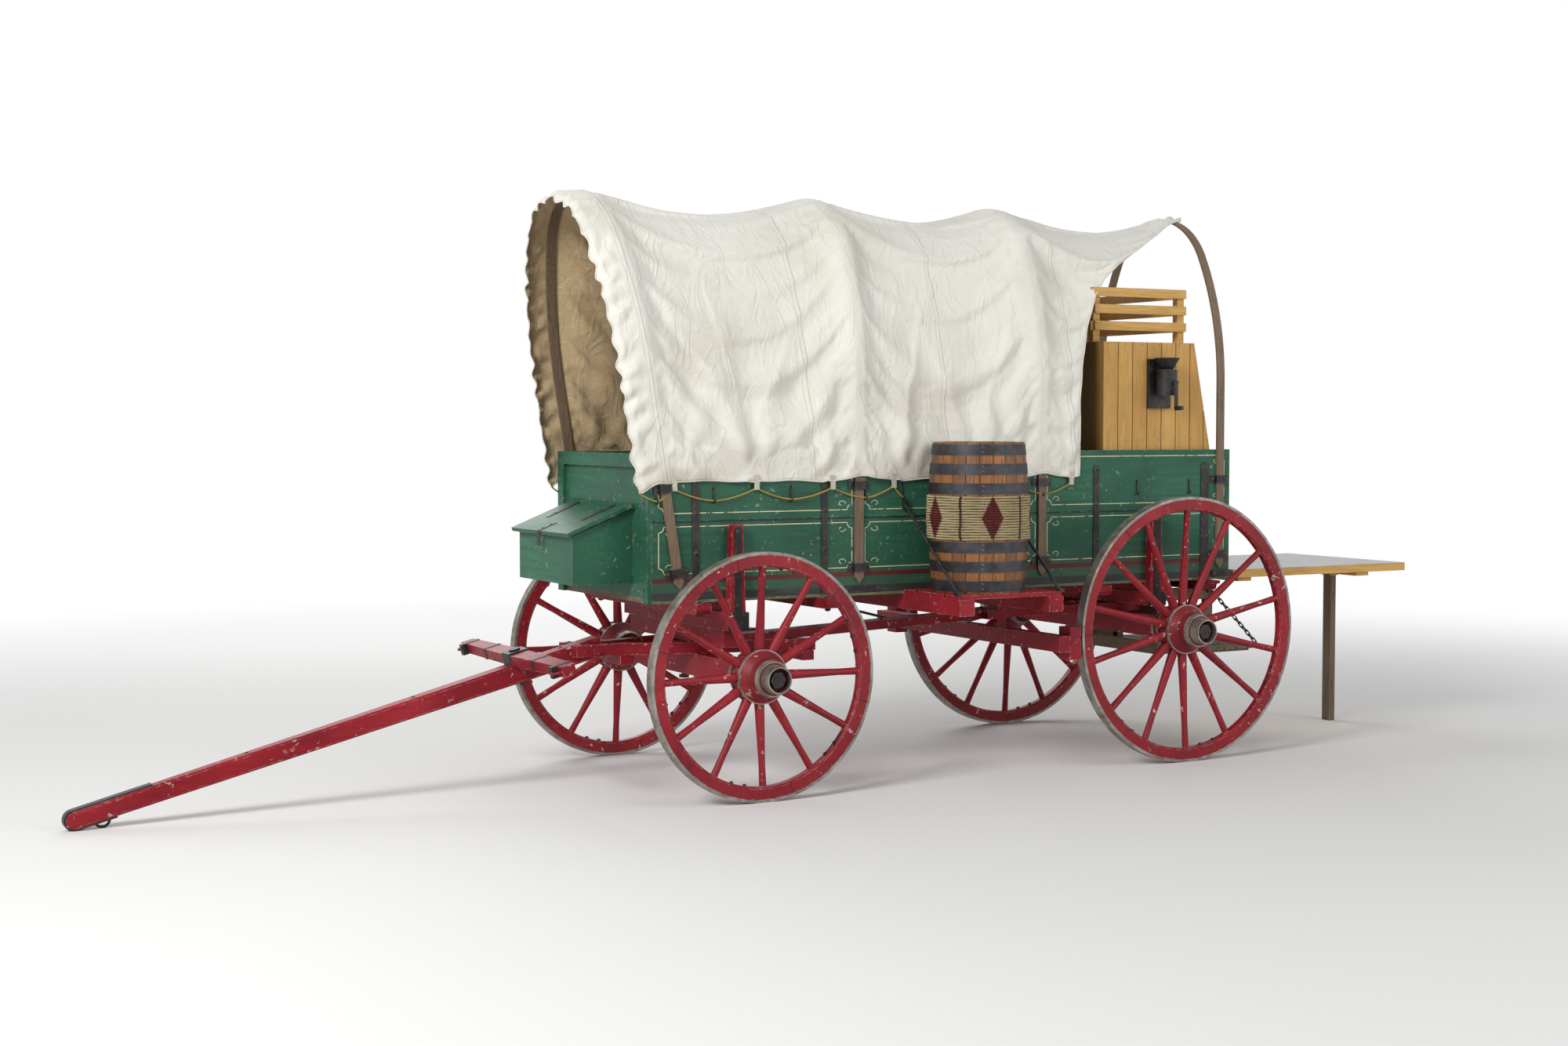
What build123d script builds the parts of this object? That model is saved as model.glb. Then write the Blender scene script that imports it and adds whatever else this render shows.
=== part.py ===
from build123d import *
import math
import os

# A full size covered chuck wagon, parked with its pole on the ground and its table let down.
# Millimetres. While modelling, x runs rearwards from the front axle, y to the right-hand side
# and z up from the ground. At export everything moves by frame_shift, so that the origin lies
# on the ground in the middle of the whole length.

# Running gear
wheel_base = 2400
track_half = 787.5
front_wheel_radius = 559
rear_wheel_radius = 660.5
front_spoke_count = 12
rear_spoke_count = 14
tyre_width = 52
tyre_thickness = 13
felloe_depth = 56
felloe_width = 48
tyre_seat_gap = 0.2
wheel_dish = 34
hub_inner_length = 148
hub_outer_length = 140
hub_barrel_inner = 50
hub_barrel_outer = 39
hub_shoulder_inner = 92
hub_shoulder_outer = 73
hub_radius = 118
hub_end_radius = 74
hub_collar_radius = 88
spoke_root_radius = 24
spoke_waist_radius = 15
spoke_tip_radius = 17
spoke_root_depth = 24
spoke_tip_depth = 39
spoke_waist_share = 0.72
felloe_bevel = 8
hub_band_thickness = 5
hub_band_width = 26
hub_band_gap = 0.2
point_band_length = 54
point_band_wall = 6
point_band_step = 8
point_band_taper = 6
skein_inner_radius = 40
skein_outer_radius = 30
skein_collar_radius = 62
skein_collar_length = 14
skein_nut_radius = 38
skein_nut_length = 34
skein_gap = 0.4
hub_end_gap = 3
axle_width = 96
axle_height = 104
axle_shoulder = 130
axle_end_rise = 14
layer_height = 54
rear_layer_height = 50
sand_board_height = 80
sand_board_half = 500
turn_gap = 0.5
bolster_width = 104
bolster_end = 11.6
bolster_top_z = 828
stake_thickness = 44
stake_width = 84
stake_top_width = 52
stake_height = 400
stake_tenon = 30
stake_gap = 0.4
stake_strap_width = 34
stake_strap_thickness = 5
stake_strap_drop = 26
king_bolt_radius = 11
king_bolt_gap = 0.4
king_bolt_head_radius = 24
king_bolt_head = 14
king_bolt_tail = 30
hound_width = 50
hound_gap = 6
hound_front_x = -600
hound_bend_x = -360
hound_axle_y = 195
hound_rear_x = 540
hound_rear_y = 300
hound_bend_radius = 260
slider_width = 60
slider_height = 46
slider_overhang = 12
slider_setback = 20
hound_brace_front = 20
hound_brace_rear = 50
hound_pin_end = 20
reach_width = 90
reach_height = 45
reach_front_x = -80
reach_overhang = 75
rear_hound_front = 720
rear_hound_rear = 100
rear_hound_y = 265
rear_hound_straight = 190

# Pole and doubletree
pole_pin_x = -500
pole_pin_radius = 14
pole_pin_gap = 0.4
pole_length = 2400
pole_root_width = 94
pole_root_height = 92
pole_tip_width = 62
pole_tip_height = 74
pole_heel = 52
pole_corner = 9
nose_inset = 1.5
pole_strap_length = 340
pole_strap_width = 44
pole_strap_thickness = 7
pole_strap_gap = 0.3
pole_strap_below = 60
pole_loop_setback = 110
pole_loop_radius = 30
pole_loop_wire = 6
doubletree_setback = 350
doubletree_half = 610
doubletree_width = 92
doubletree_tip_width = 62
doubletree_height = 48
doubletree_gap = 0.5
doubletree_bolt_radius = 12
doubletree_bolt_gap = 0.4
doubletree_bolt_end = 20
doubletree_bolt_head_radius = 26
doubletree_bolt_head = 14
doubletree_bolt_rise = 3
doubletree_hook_radius = 26
doubletree_hook_wire = 6
doubletree_hook_inset = 40
doubletree_hook_out = 8

# Box
box_front_x = -410
box_rear_x = 2910
box_inner_width = 965
board = 20
box_bottom_z = 890
box_height = 660
lower_board_height = 355
board_groove = 4
floor_thickness = 22
strip_height = 12
strip_proud = 3.5
sill_height = 50
sill_width = 76
sill_stub = 84
sill_round = 24
sill_ogee_length = 56
sill_ogee_lip = 16
front_post_width = 62
front_post_thickness = 22
front_rail_height = 60
rub_iron_front = 590
rub_iron_length = 200
tail_plate_front = 2796
tail_plate_length = 108
side_plate_height = 30
side_plate_thickness = 8
side_plate_rise = 4
outrigger_width = 80
outrigger_height = 75
outrigger_end = 1.5
outrigger_right_proud = 30
shelf_board = 20
shelf_board_width = 105
shelf_board_gap = 14
shelf_side_gap = 6
strap_width = 34
corner_strap_width = 52
strap_thickness = 6
strap_top_drop = 90

# Bows and bonnet
bow_width = 45
bow_thickness = 12
bow_side_gap = 0.4
bow_foot_rise = 45
bow_point = 30
bow_spring_z = 1900
bow_top_z = 2770
front_bow_lean = 9
front_bow_pivot_z = 1240
staple_height = 40
staple_thickness = 6
staple_ear = 34
staple_gap = 0.4
staple_low_rise = 120
staple_high_drop = 155
bonnet_thickness = 6
bow_crown_radius = 400
bonnet_gap = 0.4
bonnet_sag = 45
bonnet_side_sag = 9
bonnet_hem_drop = 105
bonnet_front_reach = 130
bonnet_rear_reach = 60
bonnet_draw_in = 70
cutaway_top_x = 2740
cutaway_hem_x = 1940
cutaway_shoulder_x = 2109
cutaway_shoulder_z = 2355
cutaway_low_bow = 30
cutaway_low_lift = 90
cutaway_mid_x = 2390
cutaway_mid_z = 2565
cutaway_top_drop = 70
cutaway_end_drop = 40
cutaway_over = 60
cutaway_under = 10

# Chuck box, rack and table
chuck_front_x = 2110
chuck_bottom_rear_x = 2925
chuck_top_rear_x = 2690
chuck_height = 545
chuck_board = 18
chuck_side_gap = 5
chuck_joint_pitch = 92
chuck_joint_width = 4
chuck_joint_depth = 3
chuck_shelf_rebate = 12
chuck_second_row_z = 1270
chuck_third_row_z = 1540
chuck_fourth_row_z = 1810
rack_front_x = 2080
rack_rear_x = 2700
rack_post = 40
rack_post_height = 276
rack_slat = 45
rack_slat_gap = 40
rack_slat_thickness = 16
rack_inset = 85.5
mill_x = 2457
mill_z = 1890
mill_plate_width = 140
mill_plate_below = 130
mill_plate_above = 120
mill_plate_thickness = 16
mill_radius = 52
mill_height = 130
mill_stand_off = 71
mill_bracket = 36
mill_bracket_height = 60
mill_hopper_foot = 30
mill_hopper_mouth = 66
mill_hopper_height = 60
mill_crank_reach = 150
mill_crank_start = 100
mill_crank_radius = 12
mill_crank_width = 18
mill_crank_thickness = 8
mill_crank_length = 140
mill_knob_radius = 11
mill_knob_length = 50
table_length = 1240
table_thickness = 42
table_top_z = 920
table_side_gap = 9.5
table_clear = 5
table_hinge_drop = 20
table_knuckle_radius = 9
table_web = 10
hinge_side_gap = 0.5
ear_half = 14
ear_thickness = 8
table_sheet = 1.5
table_cleat_width = 90
table_cleat_depth = 22
table_cleat_inset = 30
table_near_cleat = 60
table_far_cleat = 220
leg_width = 60
leg_thickness = 38
leg_setback = 110
leg_gap = 1
leg_slot_gap = 7
leg_pin_radius = 7
leg_pin_end = 12
leg_ear_gap = 1
leg_ear_half = 26
leg_ear_drop = 20
leg_ear_thickness = 8

# Boot under the tail
boot_front_x = 2530
boot_rear_x = 2895
boot_bottom_z = 490
boot_half_width = 395
boot_post = 40
boot_slat = 16
boot_slat_width = 62
boot_door_thickness = 18
boot_door_gap = 6
boot_door_drop = 12
boot_door_inset = 12
boot_door_slat_gap = 6
boot_cleat_width = 50
boot_cleat_thickness = 18
boot_cleat_inset = 60
boot_cleat_end = 20
chain_eye_radius = 5
chain_eye_setback = 24
chain_anchor_setback = 14
chain_out = 16
chain_wire = 7
chain_link_width = 26
chain_link_pitch = 38
chain_anchor_z = 806
chain_side_gap = 0.5

# Jockey box
jockey_depth = 300
jockey_half_width = 310
jockey_bottom_z = 960
jockey_front_height = 220
jockey_rear_height = 340
jockey_board = 18
jockey_lid_board = 18
jockey_lid_overhang = 20
jockey_hinge_setback = 12
jockey_hinge_rise = 14
jockey_rod_radius = 7
jockey_lid_back = 6
jockey_web = 8
jockey_ear_half = 12
jockey_ear_thickness = 8

# Barrel
barrel_x = 1173
barrel_bilge_radius = 235
barrel_end_radius = 214
barrel_height = 700
barrel_side_gap = 16
barrel_seat_gap = 0.3
barrel_chime = 24
barrel_stave = 22
barrel_stave_count = 22
barrel_joint_width = 2.4
barrel_joint_depth = 2
hoop_thickness = 3
hoop_gap = 0.3
hoop_width = 52
wrap_thickness = 9
rod_radius = 7
rod_clip = 24
rod_foot_length = 40
rod_foot_inset = 24
rod_foot_lift = 6
rod_edge_inset = 4
rod_head_drop = 250
rod_head_height = 44
rod_head_depth = 18
rod_head_seat = 10

# Brake
brake_sill_x = 1620
brake_pivot_drop = 30
brake_beam_height = 78
brake_beam_width = 64
brake_beam_half = 835
brake_beam_drop = 170
brake_shoe_height = 158
brake_shoe_width = 90
brake_clear = 24
brake_hanger_y = 300
brake_hanger_width = 44
brake_hanger_thickness = 8
brake_shoe_reach = 60
brake_ear_half = 14
brake_ear_gap = 0.5
brake_ear_thickness = 8
brake_pin_end = 4
lever_x = 880
lever_pivot_z = 846
lever_length = 760
lever_arm = 44
lever_width = 40
lever_thickness = 12
lever_stand_off = 44
lever_pin_radius = 9
lever_taper_start = 90
lever_top_share = 0.6
lever_grip_radius = 24
lever_plate_half = 30
lever_plate_thickness = 8
lever_plate_drop = 22
lever_boss_wall = 8
lever_pin_end = 8
rod_pin_radius = 7
rod_pin_length = 17
brake_rod_radius = 7
brake_rod_gap = 1
brake_rod_eye_radius = 17
brake_rod_eye_width = 12
brake_rod_rear_gap = 22
pin_gap = 0.4


# Places worked out from the sizes above
front_axle_z = front_wheel_radius
rear_axle_z = rear_wheel_radius
box_half = box_inner_width / 2
side_outer = box_half + board
box_top_z = box_bottom_z + box_height
floor_bottom_z = box_bottom_z - strip_height
floor_top_z = floor_bottom_z + floor_thickness
sill_bottom_z = floor_bottom_z - sill_height
chuck_top_z = box_top_z + chuck_height
chuck_half = box_half - chuck_side_gap
rack_half_width = chuck_half - rack_inset
table_half_width = chuck_half - table_side_gap
stake_inner_y = side_outer + strip_proud + stake_gap
bolster_half = stake_inner_y + stake_thickness + bolster_end
front_layer_z = front_axle_z + axle_height / 2
sand_board_z = front_layer_z + layer_height
front_bolster_z = sand_board_z + sand_board_height + turn_gap
rear_layer_z = rear_axle_z + axle_height / 2
rear_bolster_z = rear_layer_z + rear_layer_height
barrel_y = -(side_outer + barrel_side_gap + barrel_bilge_radius)
barrel_z = floor_bottom_z + shelf_board + barrel_seat_gap
outrigger_length = -barrel_y + barrel_bilge_radius + outrigger_end
table_hinge_x = chuck_bottom_rear_x + table_clear + table_hinge_drop
table_hinge_z = table_top_z - table_hinge_drop
table_end_x = table_hinge_x + table_length
pole_pin_z = front_layer_z + layer_height / 2

# The pole slopes down until the loop under its tip lies on the ground.
pole_loop_reach = pole_length - pole_loop_setback
pole_loop_depth = pole_tip_height / 2 + pole_loop_radius + pole_loop_wire
pole_loop_swing = math.hypot(pole_loop_reach, pole_loop_depth)
pole_slope = math.degrees(
    math.asin(pole_pin_z / pole_loop_swing) - math.atan2(pole_loop_depth, pole_loop_reach)
)
pole_tip_x = pole_pin_x - (pole_length + pole_tip_height / 2) * math.cos(math.radians(pole_slope))
frame_shift = -(pole_tip_x + table_end_x) / 2


def block(x0, x1, y0, y1, z0, z1):
    """A straight board between two corners."""
    centre = Pos((x0 + x1) / 2, (y0 + y1) / 2, (z0 + z1) / 2)
    return centre * Box(abs(x1 - x0), abs(y1 - y0), abs(z1 - z0))


def joined(*lines):
    """One wire from lines, arcs and polylines that meet end to end."""
    return Wire([edge for line in lines for edge in line.edges()])


def side_profile(points, y0, y1):
    """A closed outline of (x, z) points, as thick as from y0 to y1."""
    face = make_face(Plane.XZ * Polyline(*points, close=True))
    return Pos(0, y1, 0) * extrude(face, amount=abs(y1 - y0), dir=(0, -1, 0))


def cross_profile(face, x0, x1):
    """A face drawn on the YZ plane, as long as from x0 to x1."""
    return Pos(x0, 0, 0) * extrude(face, amount=x1 - x0, dir=(1, 0, 0))


def mirrored(shape):
    """The same piece on the other side of the wagon."""
    return mirror(shape, Plane.XZ)


def round_bar(start, end, radius):
    """A straight round bar between two points."""
    path = Line(start, end)
    return extrude(Plane(start, z_dir=Vector(*end) - Vector(*start)) * Circle(radius), path.length)


def across(x, z, y0, y1, radius):
    """A round pin or rod that runs along y."""
    return round_bar((x, y0, z), (x, y1, z), radius)


# Wheels: each is drawn about the y axis with its outer end at +y, y = 0 in the plane of the tyre.

spoke_plane = -wheel_dish
hub_inner_y = spoke_plane - hub_inner_length
hub_outer_y = spoke_plane + hub_outer_length


def turned(points):
    """A solid of revolution about the y axis from (radius, y) points."""
    return revolve(make_face(Polyline(*points, close=True)), Axis.Y, 360)


def hub_core():
    profile = [
        (0, hub_inner_y),
        (hub_end_radius, hub_inner_y),
        (hub_collar_radius, spoke_plane - hub_shoulder_inner),
        (hub_radius, spoke_plane - hub_barrel_inner),
        (hub_radius, spoke_plane + hub_barrel_outer),
        (hub_collar_radius, spoke_plane + hub_shoulder_outer),
        (hub_end_radius, hub_outer_y),
        (0, hub_outer_y),
    ]
    return turned(profile)


def hub_bore():
    inner = skein_inner_radius + skein_gap
    outer = skein_outer_radius + skein_gap
    low = hub_inner_y - 1
    high = hub_outer_y + 1
    return turned([(0, low), (inner, low), (outer, high), (0, high)])


def hub_band(y0, y1, r0, r1):
    """An iron band shrunk on the hub: r0 and r1 are the hub's radii under its two edges."""
    gap = hub_band_gap
    wall = hub_band_gap + hub_band_thickness
    return turned([(r0 + gap, y0), (r0 + wall, y0), (r1 + wall, y1), (r1 + gap, y1)])


def hub_irons():
    taper_in = (hub_collar_radius - hub_end_radius) / (hub_inner_length - hub_shoulder_inner)
    taper_out = (hub_collar_radius - hub_end_radius) / (hub_outer_length - hub_shoulder_outer)
    mid_in = spoke_plane - hub_barrel_inner
    mid_out = spoke_plane + hub_barrel_outer
    inner_edge = hub_end_radius + taper_in * hub_band_width
    inner_end = hub_band(hub_inner_y, hub_inner_y + hub_band_width, hub_end_radius, inner_edge)
    outer_edge = hub_end_radius + taper_out * hub_band_width
    outer_end = hub_band(hub_outer_y - hub_band_width, hub_outer_y, outer_edge, hub_end_radius)
    inner_mid = hub_band(mid_in, mid_in + hub_band_width / 2, hub_radius, hub_radius)
    outer_mid = hub_band(mid_out - hub_band_width / 2, mid_out, hub_radius, hub_radius)
    point_outer = hub_end_radius - point_band_step
    point_inner = point_outer - point_band_wall
    point_end = hub_outer_y + point_band_length
    point = turned(
        [
            (point_inner, hub_outer_y),
            (point_outer, hub_outer_y),
            (point_outer - point_band_taper, point_end),
            (point_inner - point_band_taper, point_end),
        ]
    )
    return [inner_end, inner_mid, outer_mid, outer_end, point]


def spoke(wheel_radius):
    """One turned spoke along +z, from inside the hub to inside the felloe."""
    tip = wheel_radius - tyre_thickness - spoke_tip_depth
    root = hub_radius - spoke_root_depth
    waist = root + (tip - root) * spoke_waist_share
    points = [
        (0, root),
        (spoke_root_radius, root),
        (spoke_waist_radius, waist),
        (spoke_tip_radius, tip),
        (0, tip),
    ]
    body = revolve(make_face(Plane.XZ * Polyline(*points, close=True)), Axis.Z, 360)
    lean = math.degrees(math.atan2(wheel_dish, tip - hub_radius))
    return Pos(0, spoke_plane, hub_radius) * Rot(-lean, 0, 0) * Pos(0, 0, -hub_radius) * body


def wooden_wheel(wheel_radius, spoke_count):
    felloe_outer = wheel_radius - tyre_thickness - tyre_seat_gap
    felloe_inner = felloe_outer - felloe_depth
    half = felloe_width / 2
    bevel = felloe_bevel
    rim = turned(
        [
            (felloe_inner, -half + bevel),
            (felloe_inner + bevel, -half),
            (felloe_outer, -half),
            (felloe_outer, half),
            (felloe_inner + bevel, half),
            (felloe_inner, half - bevel),
        ]
    )
    spokes = [Rot(0, turn * 360 / spoke_count, 0) * spoke(wheel_radius) for turn in range(spoke_count)]
    wheel = (hub_core() + rim).fuse(*spokes)
    return wheel - hub_bore()


def iron_tyre(wheel_radius):
    half = tyre_width / 2
    inner = wheel_radius - tyre_thickness
    return turned([(inner, -half), (wheel_radius, -half), (wheel_radius, half), (inner, half)])


def skein():
    """The iron thimble on one axle end, with its collar and nut, in the wheel's own place."""
    collar_y = hub_inner_y - hub_end_gap
    nut_y = hub_outer_y + hub_end_gap
    root_y = collar_y - skein_collar_length
    profile = [
        (0, root_y),
        (skein_collar_radius, root_y),
        (skein_collar_radius, collar_y),
        (skein_inner_radius, collar_y),
        (skein_inner_radius, hub_inner_y),
        (skein_outer_radius, hub_outer_y),
        (skein_outer_radius, nut_y),
        (0, nut_y),
    ]
    nut = Pos(0, nut_y, 0) * Rot(-90, 0, 0) * extrude(RegularPolygon(skein_nut_radius, 6), skein_nut_length)
    return turned(profile) + nut


def on_axle(shape, axle_x, axle_z):
    """The right-hand piece of an axle at its place."""
    return Pos(axle_x, track_half, axle_z) * shape


axle_end_y = track_half + hub_inner_y - hub_end_gap - skein_collar_length


# Axles, bolsters and gear

def axle_tree(axle_x, axle_z):
    """A wooden axle with its lower edges taken off towards the ends."""
    half_height = axle_height / 2
    end_height = skein_collar_radius - axle_end_rise
    taper_y = axle_end_y - axle_shoulder
    outline = [
        (-axle_end_y, -end_height),
        (-taper_y, -half_height),
        (taper_y, -half_height),
        (axle_end_y, -end_height),
        (axle_end_y, half_height),
        (-axle_end_y, half_height),
    ]
    face = make_face(Plane.YZ * Polyline(*outline, close=True))
    half = axle_width / 2
    return Pos(axle_x, 0, axle_z) * cross_profile(face, -half, half)


def bolster(axle_x, bottom_z):
    """A bolster with its two tapered stakes, each with a strap down its outer face."""
    half = bolster_width / 2
    beam = block(axle_x - half, axle_x + half, -bolster_half, bolster_half, bottom_z, bolster_top_z)
    inner_y = stake_inner_y
    top_z = bolster_top_z + stake_height
    low = stake_width / 2
    high = stake_top_width / 2
    points = [
        (axle_x - low, bolster_top_z - stake_tenon),
        (axle_x + low, bolster_top_z - stake_tenon),
        (axle_x + high, top_z),
        (axle_x - high, top_z),
    ]
    stake = side_profile(points, inner_y, inner_y + stake_thickness)
    strap_half = stake_strap_width / 2
    strap_y = inner_y + stake_thickness
    strap_top = top_z - stake_strap_drop
    strap = block(
        axle_x - strap_half,
        axle_x + strap_half,
        strap_y,
        strap_y + stake_strap_thickness,
        bolster_top_z - stake_tenon,
        strap_top,
    )
    crown = across(axle_x, strap_top, strap_y, strap_y + stake_strap_thickness, strap_half)
    stake = stake + strap + crown
    return beam + stake + mirrored(stake)


def king_bolt_hole(z0, z1):
    return Pos(0, 0, (z0 + z1) / 2) * Cylinder(king_bolt_radius + king_bolt_gap, z1 - z0 + 2)


king_bolt_bottom_z = front_axle_z - axle_height / 2 - king_bolt_tail
king_bolt_shank = Pos(0, 0, (king_bolt_bottom_z + sill_bottom_z) / 2) * Cylinder(
    king_bolt_radius, sill_bottom_z - king_bolt_bottom_z
)


def front_hound():
    """The right-hand front hound: along the pole, out over the axle and on to the slider."""
    half = hound_width / 2
    front_y = pole_root_width / 2 + hound_gap + half
    line = FilletPolyline(
        (hound_front_x, front_y),
        (hound_bend_x, front_y),
        (0, hound_axle_y),
        (hound_rear_x, hound_rear_y),
        radius=hound_bend_radius,
    )
    face = trace(line, hound_width)
    return Pos(0, 0, front_layer_z) * extrude(face, layer_height)


def front_hounds():
    hound = front_hound()
    slider_half = hound_rear_y + hound_width / 2 + slider_overhang
    slider_x = hound_rear_x - slider_width - slider_setback
    slider_z = front_layer_z - slider_height
    slider = block(slider_x, slider_x + slider_width, -slider_half, slider_half, slider_z, front_layer_z)
    brace_y = pole_root_width / 2 + hound_gap + hound_width
    brace = block(
        hound_bend_x - hound_brace_front,
        hound_bend_x + hound_brace_rear,
        -brace_y,
        brace_y,
        slider_z,
        front_layer_z,
    )
    pin_y = brace_y + hound_pin_end
    pin = across(pole_pin_x, pole_pin_z, -pin_y, pin_y, pole_pin_radius)
    return hound + mirrored(hound) + slider + brace + pin


reach_slope = math.degrees(
    math.atan2(rear_layer_z + rear_layer_height / 2 - (front_layer_z + layer_height / 2), wheel_base)
)
reach_place = Pos(0, 0, front_layer_z + layer_height / 2) * Rot(0, -reach_slope, 0)
reach_span = math.hypot(wheel_base, rear_layer_z - front_layer_z)


def reach():
    half = reach_height / 2
    beam = block(reach_front_x, reach_span + reach_overhang, -reach_width / 2, reach_width / 2, -half, half)
    return reach_place * beam


def rear_hounds():
    half = hound_width / 2
    line = FilletPolyline(
        (reach_span - rear_hound_front, reach_width / 2 + half),
        (reach_span - rear_hound_front + rear_hound_straight, reach_width / 2 + half),
        (reach_span, rear_hound_y),
        (reach_span + rear_hound_rear, rear_hound_y),
        radius=hound_bend_radius,
    )
    hound = reach_place * Pos(0, 0, -reach_height / 2) * extrude(trace(line, hound_width), reach_height)
    return [hound, mirrored(hound)]


# Pole: drawn along -x from its pin, level, and then let down by its slope.

pole_place = Pos(pole_pin_x, 0, pole_pin_z) * Rot(0, -pole_slope, 0)


def pole_width_at(distance):
    return pole_root_width + (pole_tip_width - pole_root_width) * distance / pole_length


def pole_height_at(distance):
    return pole_root_height + (pole_tip_height - pole_root_height) * distance / pole_length


def pole_section(distance):
    width = pole_width_at(distance)
    height = pole_height_at(distance)
    plane = Plane(origin=(-distance, 0, 0), x_dir=(0, 1, 0), z_dir=(1, 0, 0))
    y = width / 2
    z = height / 2
    c = pole_corner
    corners = [
        (y, c - z),
        (y, z - c),
        (y - c, z),
        (c - y, z),
        (-y, z - c),
        (-y, c - z),
        (c - y, -z),
        (y - c, -z),
    ]
    return make_face(plane * Polyline(*corners, close=True))


def pole():
    beam = loft([pole_section(pole_length), pole_section(-pole_heel)], ruled=True)
    nose_width = pole_tip_width / 2 - nose_inset
    nose = across(-pole_length, 0, -nose_width, nose_width, pole_tip_height / 2 - nose_inset)
    pin_hole = across(0, 0, -pole_root_width, pole_root_width, pole_pin_radius + pole_pin_gap)
    hole_radius = doubletree_bolt_radius + doubletree_bolt_gap
    bolt_hole = Pos(-doubletree_setback, 0, 0) * Cylinder(hole_radius, pole_root_height * 2)
    return pole_place * (beam + nose - pin_hole - bolt_hole)


def pole_irons():
    """The strap round the pole's nose, the loop below it and the doubletree's bolt."""
    half = pole_strap_width / 2
    inner = pole_tip_height / 2 + pole_strap_gap
    outer = inner + pole_strap_thickness
    rise = (pole_root_height - pole_tip_height) / 2 * pole_strap_length / pole_length
    strap_end = -pole_length + pole_strap_length
    top_line = [
        (-pole_length, inner),
        (strap_end, inner + rise),
        (strap_end, outer + rise),
        (-pole_length, outer),
    ]
    top = side_profile(top_line, -half, half)
    bottom_length = pole_loop_setback + pole_strap_below
    bottom_end = -pole_length + bottom_length
    bottom_rise = rise * bottom_length / pole_strap_length
    bottom = side_profile(
        [
            (-pole_length, -inner),
            (bottom_end, -inner - bottom_rise),
            (bottom_end, -outer - bottom_rise),
            (-pole_length, -outer),
        ],
        -half,
        half,
    )
    ring = across(-pole_length, 0, -half, half, outer) - across(-pole_length, 0, -half - 1, half + 1, inner)
    nose = ring & block(-pole_length - outer - 1, -pole_length, -half, half, -outer, outer)
    loop_x = -pole_length + pole_loop_setback
    loop = Pos(loop_x, 0, -pole_tip_height / 2) * Rot(90, 0, 0) * Torus(pole_loop_radius, pole_loop_wire)
    reach_out = pole_loop_radius + pole_loop_wire * 2
    seat_z = -inner - pole_strap_thickness / 3
    loop = loop & block(loop_x - reach_out, loop_x + reach_out, -half, half, -outer - reach_out, seat_z)
    strap = top + bottom + nose + loop
    bolt_z = pole_height_at(doubletree_setback) / 2
    bolt_low = -bolt_z - doubletree_bolt_end
    head_low = bolt_z + doubletree_gap + doubletree_height + doubletree_bolt_rise
    bolt = Pos(-doubletree_setback, 0, (bolt_low + head_low) / 2) * Cylinder(
        doubletree_bolt_radius, head_low - bolt_low
    )
    head = Pos(-doubletree_setback, 0, head_low + doubletree_bolt_head / 2) * Cylinder(
        doubletree_bolt_head_radius, doubletree_bolt_head
    )
    return [pole_place * strap, pole_place * (bolt + head)]


def doubletree():
    """The cross bar with its end hooks, on the pole's bolt."""
    wide = doubletree_width / 2
    narrow = doubletree_tip_width / 2
    half = doubletree_half
    outline = [(wide, 0), (narrow, half), (-narrow, half), (-wide, 0), (-narrow, -half), (narrow, -half)]
    bar = extrude(make_face(Polyline(*outline, close=True)), doubletree_height)
    middle = doubletree_height / 2
    hole_radius = doubletree_bolt_radius + doubletree_bolt_gap
    bar = bar - Pos(0, 0, middle) * Cylinder(hole_radius, doubletree_height * 2)
    hooks = []
    for side in (-1, 1):
        hook_y = side * (half - doubletree_hook_inset)
        hook = Torus(doubletree_hook_radius, doubletree_hook_wire)
        hooks.append(Pos(-narrow - doubletree_hook_out, hook_y, middle) * hook)
    bottom_z = pole_height_at(doubletree_setback) / 2 + doubletree_gap
    return pole_place * Pos(-doubletree_setback, 0, bottom_z) * bar.fuse(*hooks)


# Box

def box_side():
    """The right-hand side: a lower and an upper board with the joint between them."""
    side = block(box_front_x, box_rear_x, box_half, side_outer, box_bottom_z, box_top_z)
    joint_z = box_bottom_z + lower_board_height
    groove = block(
        box_front_x - 1,
        box_rear_x + 1,
        side_outer - board_groove,
        side_outer + 1,
        joint_z,
        joint_z + board_groove,
    )
    return side - groove


def box_front():
    """The front board with a post at each corner, which covers the side's end, and a top rail."""
    front = block(box_front_x, box_front_x + board, -box_half, box_half, floor_top_z, box_top_z)
    face_x = box_front_x - front_post_thickness
    post = block(face_x, box_front_x, side_outer - front_post_width, side_outer, floor_bottom_z, box_top_z)
    rail = block(face_x, box_front_x, -side_outer, side_outer, box_top_z - front_rail_height, box_top_z)
    return front + post + mirrored(post) + rail


def box_floor():
    return block(box_front_x, box_rear_x, -box_half, box_half, floor_bottom_z, floor_top_z)


def box_strips():
    strip = block(box_front_x, box_rear_x, box_half, side_outer + strip_proud, floor_bottom_z, box_bottom_z)
    return [strip, mirrored(strip)]


# Cross sills: place along x, the form of their ends, and the width of the strap above each end.
sill_table = [
    (-190, "round", strap_width),
    (0, "flush", 0),
    (480, "round", strap_width),
    (brake_sill_x, "round", 0),
    (2050, "round", strap_width),
    (wheel_base, "flush", 0),
    (2745, "ogee", corner_strap_width),
]
outrigger_places = [955, 1455]


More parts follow.
